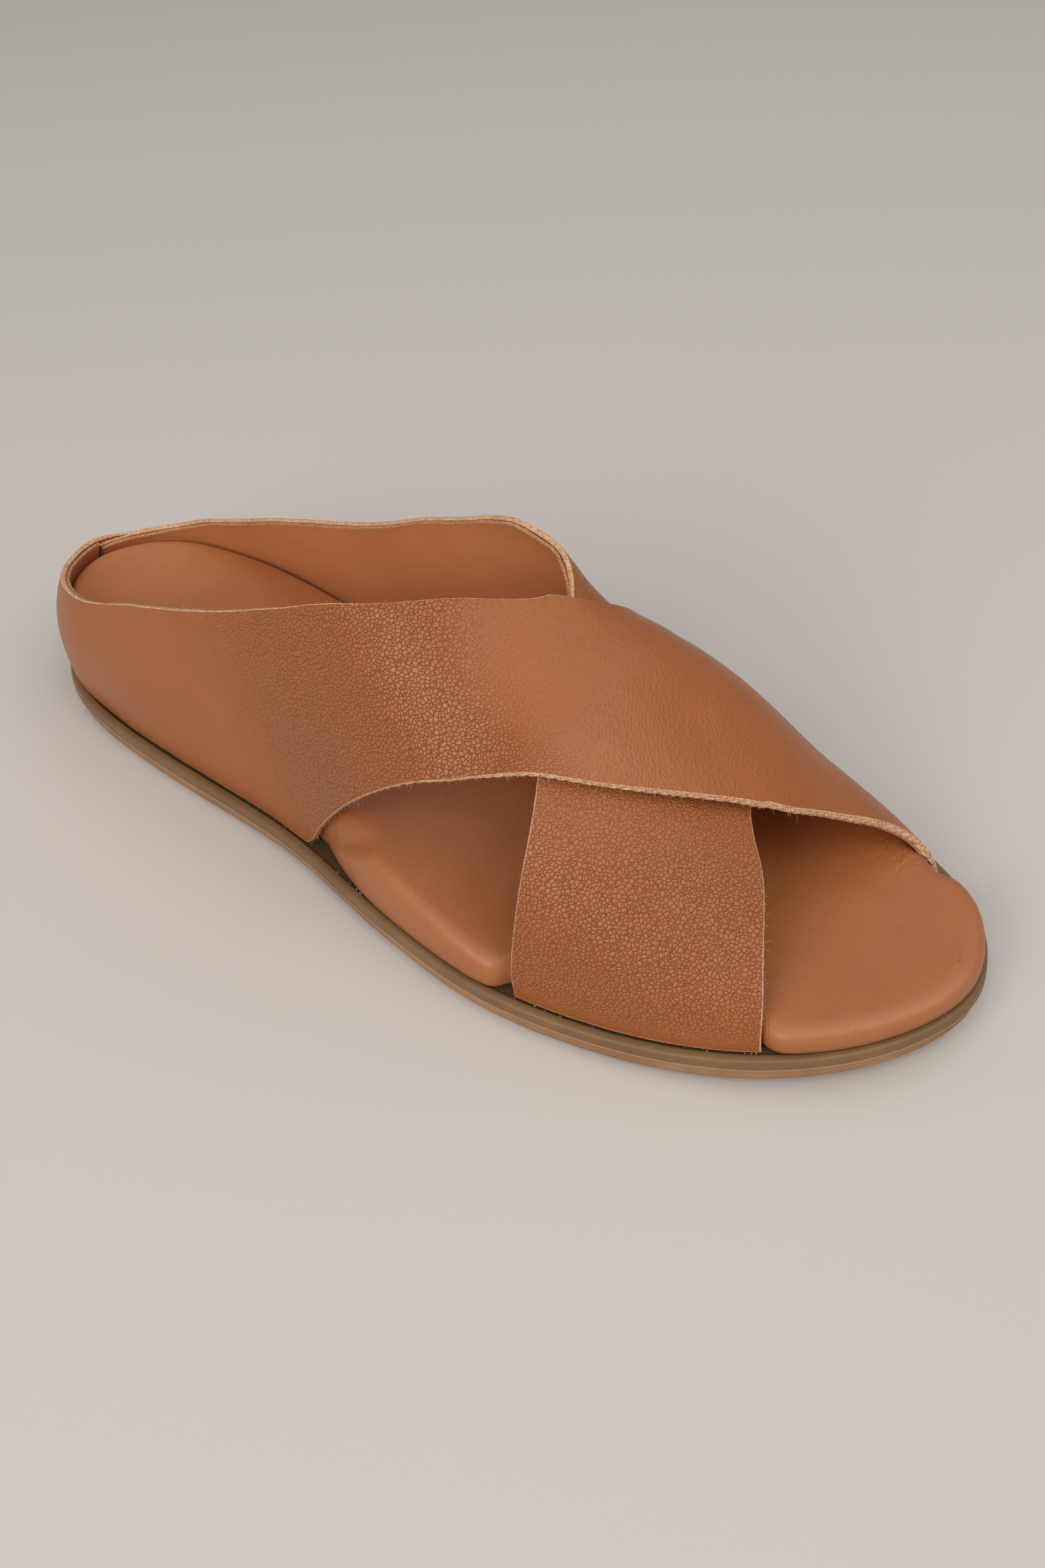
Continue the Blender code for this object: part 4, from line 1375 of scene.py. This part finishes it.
@dataclass
class Upper:
    """Both straps, with the frayed rim and the loose fibres of their cut edges."""

    last: Last
    leather: StrapLeather = StrapLeather()
    lining: LiningLeather = LiningLeather()
    outer_edge: CutEdge = CutEdge()
    inner_edge: CutEdge = CutEdge("lining_cut_edge", (0.56, 0.29, 0.15), (0.31, 0.125, 0.05))
    fibre_width: float = 0.045 * MM
    fray_radius: float = 0.50 * MM

    def build(self) -> None:
        """Builds the four leathers, the fibres and the frayed rim."""
        under = Strap(self.last, "under_strap", Side.MEDIAL, UNDER_STRAP, False, 330, seed=140)
        over = Strap(self.last, "over_strap", Side.LATERAL, OVER_STRAP, True, 400, seed=70)
        dress = {
            Layer.LEATHER: [self.leather.material(), self.outer_edge.material()],
            Layer.LINING: [self.lining.material(), self.inner_edge.material()],
        }
        for strap, crossed in ((under, None), (over, under)):
            for layer in Layer:
                shell = strap.layer(layer, crossed)
                piece = shell.piece(f"{strap.name}_{layer.value}", dress[layer], "upper")
                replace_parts(piece, "upper")
        loose = CutEdge("loose_fibre", (0.82, 0.52, 0.33)).material()
        rims = {"edge_fibres": self.fibres(over, under), "frayed_edge": self.fray(over, under)}
        for name, surface in rims.items():
            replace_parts(surface.piece(name, [loose], "upper"), "upper")

    def fray(self, over: Strap, under: Strap) -> Surface:
        """The frayed, twisted rim of the over strap's front edge.

        A thin tube follows the cut edge. Its radius is a circle's with two twisted strands and an
        uneven ripple, and it thins out to nothing at both ends.

        Args:
            over: The over strap.
            under: The under strap.

        Returns:
            The tube.
        """
        rows, columns = 620, 12
        along = np.linspace(0.50, 0.985, rows)
        line, way = over.edge_line(False, along, under)
        tangent = unit(np.gradient(line, axis=0))
        side = unit(np.cross(tangent, way))
        travel = travelled(line)[:, None]
        turn = (np.arange(columns) * 2 * math.pi / columns)[None, :]
        twist = 2 * math.pi * travel / (2.6 * MM)
        strands = 0.20 * np.sin(2 * turn + twist + 1.2 * ripple(travel, 9 * MM, 61))
        loose = 0.16 * ripple(travel, 1.3 * MM, 62)
        loose = loose + 0.10 * ripple(travel + turn * 0.4 * MM, 0.9 * MM, 63)
        ends = ease(travel / (30 * MM)) * ease((travel[-1] - travel) / (3 * MM))
        radius = self.fray_radius * ends * (1 + strands + loose)
        out = 0.85 * np.cos(turn)[..., None] * way[:, None]
        round_it = 1.35 * np.sin(turn)[..., None] * side[:, None]
        points = line[:, None] - 0.12 * MM * way[:, None] + radius[..., None] * (out + round_it)
        k = np.arange(1, columns - 1)
        last = (rows - 1) * columns
        start = np.stack([0 * k, k + 1, k], -1)
        stop = np.stack([0 * k + last, last + k, last + k + 1], -1)
        caps = np.concatenate([start, stop])
        return Surface(points.reshape(-1, 3), tube_faces(rows, columns), caps)

    def fibres(self, over: Strap, under: Strap) -> Surface:
        """Short curled fibres along the cut edges.

        Each is a three-sided taper on a bent line of four places: it leaves the edge along the
        surface, leans to one side and droops, all by seeded draws.

        Args:
            over: The over strap.
            under: The under strap.

        Returns:
            All fibres as one surface.
        """
        draw = np.random.default_rng(7)
        roots, ways = [], []
        plan = (
            (over, under, False, 0.36, 0.97, 1300),
            (over, under, True, 0.25, 0.80, 260),
            (under, None, True, 0.62, 0.97, 240),
            (under, None, False, 0.50, 0.97, 240),
        )
        for strap, crossed, back, start, stop, count in plan:
            along = draw.uniform(start, stop, count)
            root, way = strap.edge_line(back, along, crossed)
            roots.append(root)
            ways.append(way)
        root, way = np.concatenate(roots), np.concatenate(ways)
        count = len(root)
        side = unit(np.cross(way, draw.normal(size=(count, 3))))
        length = draw.gamma(2.2, 0.17, count)[:, None] * MM
        place = root + draw.normal(0, 0.33, (count, 3)) * MM
        lean = unit(way + 0.9 * side)
        curl = unit(way + 0.8 * draw.normal(size=(count, 3)))
        rise = np.linspace(0, 1, 4)[None, :, None]
        bent = lean[:, None] * rise + 0.6 * curl[:, None] * rise**2
        line = place[:, None] - 0.25 * MM * way[:, None] + length[:, None] * bent
        frame_a = unit(np.cross(lean, side + 0.3 * curl))
        frame_b = unit(np.cross(lean, frame_a))
        turn = (np.arange(3) * 2 * math.pi / 3)[:, None]
        circle = frame_a[:, None] * np.cos(turn) + frame_b[:, None] * np.sin(turn)
        taper = self.fibre_width * np.array([1.0, 0.9, 0.7, 0.25])
        points = line[:, :, None, :] + circle[:, None, :, :] * taper[None, :, None, None]
        base = (np.arange(count) * 12)[:, None, None]
        quads = (tube_faces(4, 3)[None] + base).reshape(-1, 4)
        ends = np.array([[2, 1, 0], [9, 10, 11]])[None] + base
        return Surface(points.reshape(-1, 3), quads, ends.reshape(-1, 3))


@dataclass
class JointSpecks:
    """Crumbs of dried glue and dust that sit in the joint between leather and sole."""

    last: Last
    count: int = 44
    finish: PlainFinish = PlainFinish("dried_glue", (0.34, 0.20, 0.11), (0.17, 0.09, 0.045), 0.6)

    def build(self) -> None:
        """Builds the crumbs: small faceted balls, each squashed along its axes by seeded draws."""
        draw = np.random.default_rng(12)
        runs = ((0.44, 0.66), (0.66, 0.93))
        station = np.concatenate([draw.uniform(*run, self.count // 2) for run in runs])
        station *= self.last.length
        foot = self.last.foot_line(Side.LATERAL, station)
        inward = unit(np.array([[0.5 * self.last.length, 0.0]]) - foot)
        foot = foot - inward * draw.uniform(0.0, 0.35, (len(foot), 1)) * MM
        z = self.last.sole + self.last.toe_lift(foot[:, 0]) + draw.uniform(0.0, 0.1, len(foot)) * MM
        centre = np.column_stack([foot - self.last.centre, z])
        u, v = np.meshgrid(np.linspace(0, 2 * math.pi, 6, endpoint=False), np.radians([-50, 0, 50]))
        ball = np.stack([np.cos(v) * np.cos(u), np.cos(v) * np.sin(u), np.sin(v)], -1).reshape(-1, 3)
        size = draw.uniform(0.10, 0.30, (len(centre), 1, 1)) * MM
        size = size * draw.uniform(0.6, 1.4, (len(centre), 1, 3))
        points = centre[:, None] + ball[None] * size
        base = (np.arange(len(centre)) * 18)[:, None, None]
        quads = (tube_faces(3, 6)[None] + base).reshape(-1, 4)
        fan = np.array([[0, k + 1, k] for k in range(1, 5)] + [[12, 12 + k, 13 + k] for k in range(1, 5)])
        surface = Surface(points.reshape(-1, 3), quads, (fan[None] + base).reshape(-1, 3))
        surface.piece("joint_specks", [self.finish.material()], "outsole")


@dataclass
class Studio:
    """The floor, the camera and the lights."""

    eye: tuple[float, float, float] = (0.16376, -0.18815, 0.24206)
    right: tuple[float, float, float] = (0.84587651, 0.53329085, 0.00968481)
    up: tuple[float, float, float] = (-0.37149688, 0.57602451, 0.72813861)
    lens: float = 33.019
    shift: tuple[float, float] = (-0.0753, 0.0)
    floor_half: float = 9.0
    floor_tone: Colour = (0.60, 0.555, 0.51)
    aim: tuple[float, float, float] = (0.0, 0.0, 0.03)
    daylight: Colour = (1.0, 0.98, 0.97)
    surround: Colour = (0.93, 0.95, 1.0)
    surround_strength: float = 0.22

    def floor(self) -> None:
        """A plain pale floor under the sole."""
        h = self.floor_half
        mesh = bpy.data.meshes.new("floor")
        mesh.from_pydata([(-h, -h, 0), (h, -h, 0), (h, h, 0), (-h, h, 0)], [], [(0, 1, 2, 3)])
        n = Nodes("pale_floor")
        plain = {"Base Color": self.floor_tone, "Roughness": 0.75, "Specular IOR Level": 0.25}
        for key, value in plain.items():
            n.put(n.shader.inputs[key], value)
        mesh.materials.append(n.material)
        obj = new_object("floor", mesh)

    def camera(self) -> None:
        """The camera, at the photograph's angle to the shoe."""
        data = bpy.data.cameras.new("camera")
        data.sensor_fit = "AUTO"
        data.sensor_width = 36.0
        data.lens = self.lens
        data.shift_x, data.shift_y = self.shift
        data.clip_start = 0.01
        obj = new_object("camera", data)
        right, up = Vector(self.right), Vector(self.up)
        back = right.cross(up)
        turn = Matrix((right, up, back)).transposed().to_4x4()
        obj.matrix_world = Matrix.Translation(Vector(self.eye)) @ turn
        bpy.context.scene.camera = obj

    def light(
        self,
        name: str,
        azimuth: float,
        elevation: float,
        distance: float,
        size: float,
        power: float,
        tint: Colour,
    ) -> None:
        """A square soft light that faces the shoe.

        Args:
            name: The light's name.
            azimuth: Degrees round from +X.
            elevation: Degrees above the floor.
            distance: Metres from the shoe's middle.
            size: The light's side in metres.
            power: Its power in watts.
            tint: Its colour.
        """
        data = bpy.data.lights.new(name, "AREA")
        data.shape = "SQUARE"
        data.size, data.energy, data.color = size, power, tint
        a, e = math.radians(azimuth), math.radians(elevation)
        way = Vector((math.cos(e) * math.cos(a), math.cos(e) * math.sin(a), math.sin(e)))
        obj = new_object(name, data)
        obj.location = Vector(self.aim) + way * distance
        obj.rotation_euler = way.to_track_quat("Z", "Y").to_euler()

    def build(self) -> None:
        """Builds the floor, the camera, the lights and the soft surrounding light."""
        self.floor()
        self.camera()
        self.light("window", -90, 32, 1.4, 0.85, 10.5, self.daylight)
        self.light("sky", 40, 78, 1.7, 2.6, 17.0, (0.98, 0.98, 0.98))
        self.light("front", -12, 48, 1.6, 1.6, 8.5, self.daylight)
        world = bpy.data.worlds.new("soft_light")
        world.use_nodes = True
        background = world.node_tree.nodes["Background"]
        background.inputs["Color"].default_value = (*self.surround, 1)
        background.inputs["Strength"].default_value = self.surround_strength
        bpy.context.scene.world = world
        bpy.context.scene.view_settings.view_transform = "Standard"


def dress_wedge() -> None:
    """Gives the heel wedge, which only shows in the side gaps, a dark finish: painted shade for the recess
    under the footbed.
    """
    finish = PlainFinish("wedge_shade", (0.090, 0.045, 0.022), (0.055, 0.026, 0.013), 0.85).material()
    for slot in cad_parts["midsole_wedge"].material_slots:
        slot.material = finish


def main() -> None:
    """Builds every sub-assembly in order."""
    logging.basicConfig(level=logging.INFO, format="%(name)s: %(message)s")
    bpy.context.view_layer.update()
    last = Last()
    Studio().build()
    Outsole(last).build()
    dress_wedge()
    Footbed(last).build()
    Upper(last).build()
    JointSpecks(last).build()


if __name__ == "__main__":
    main()
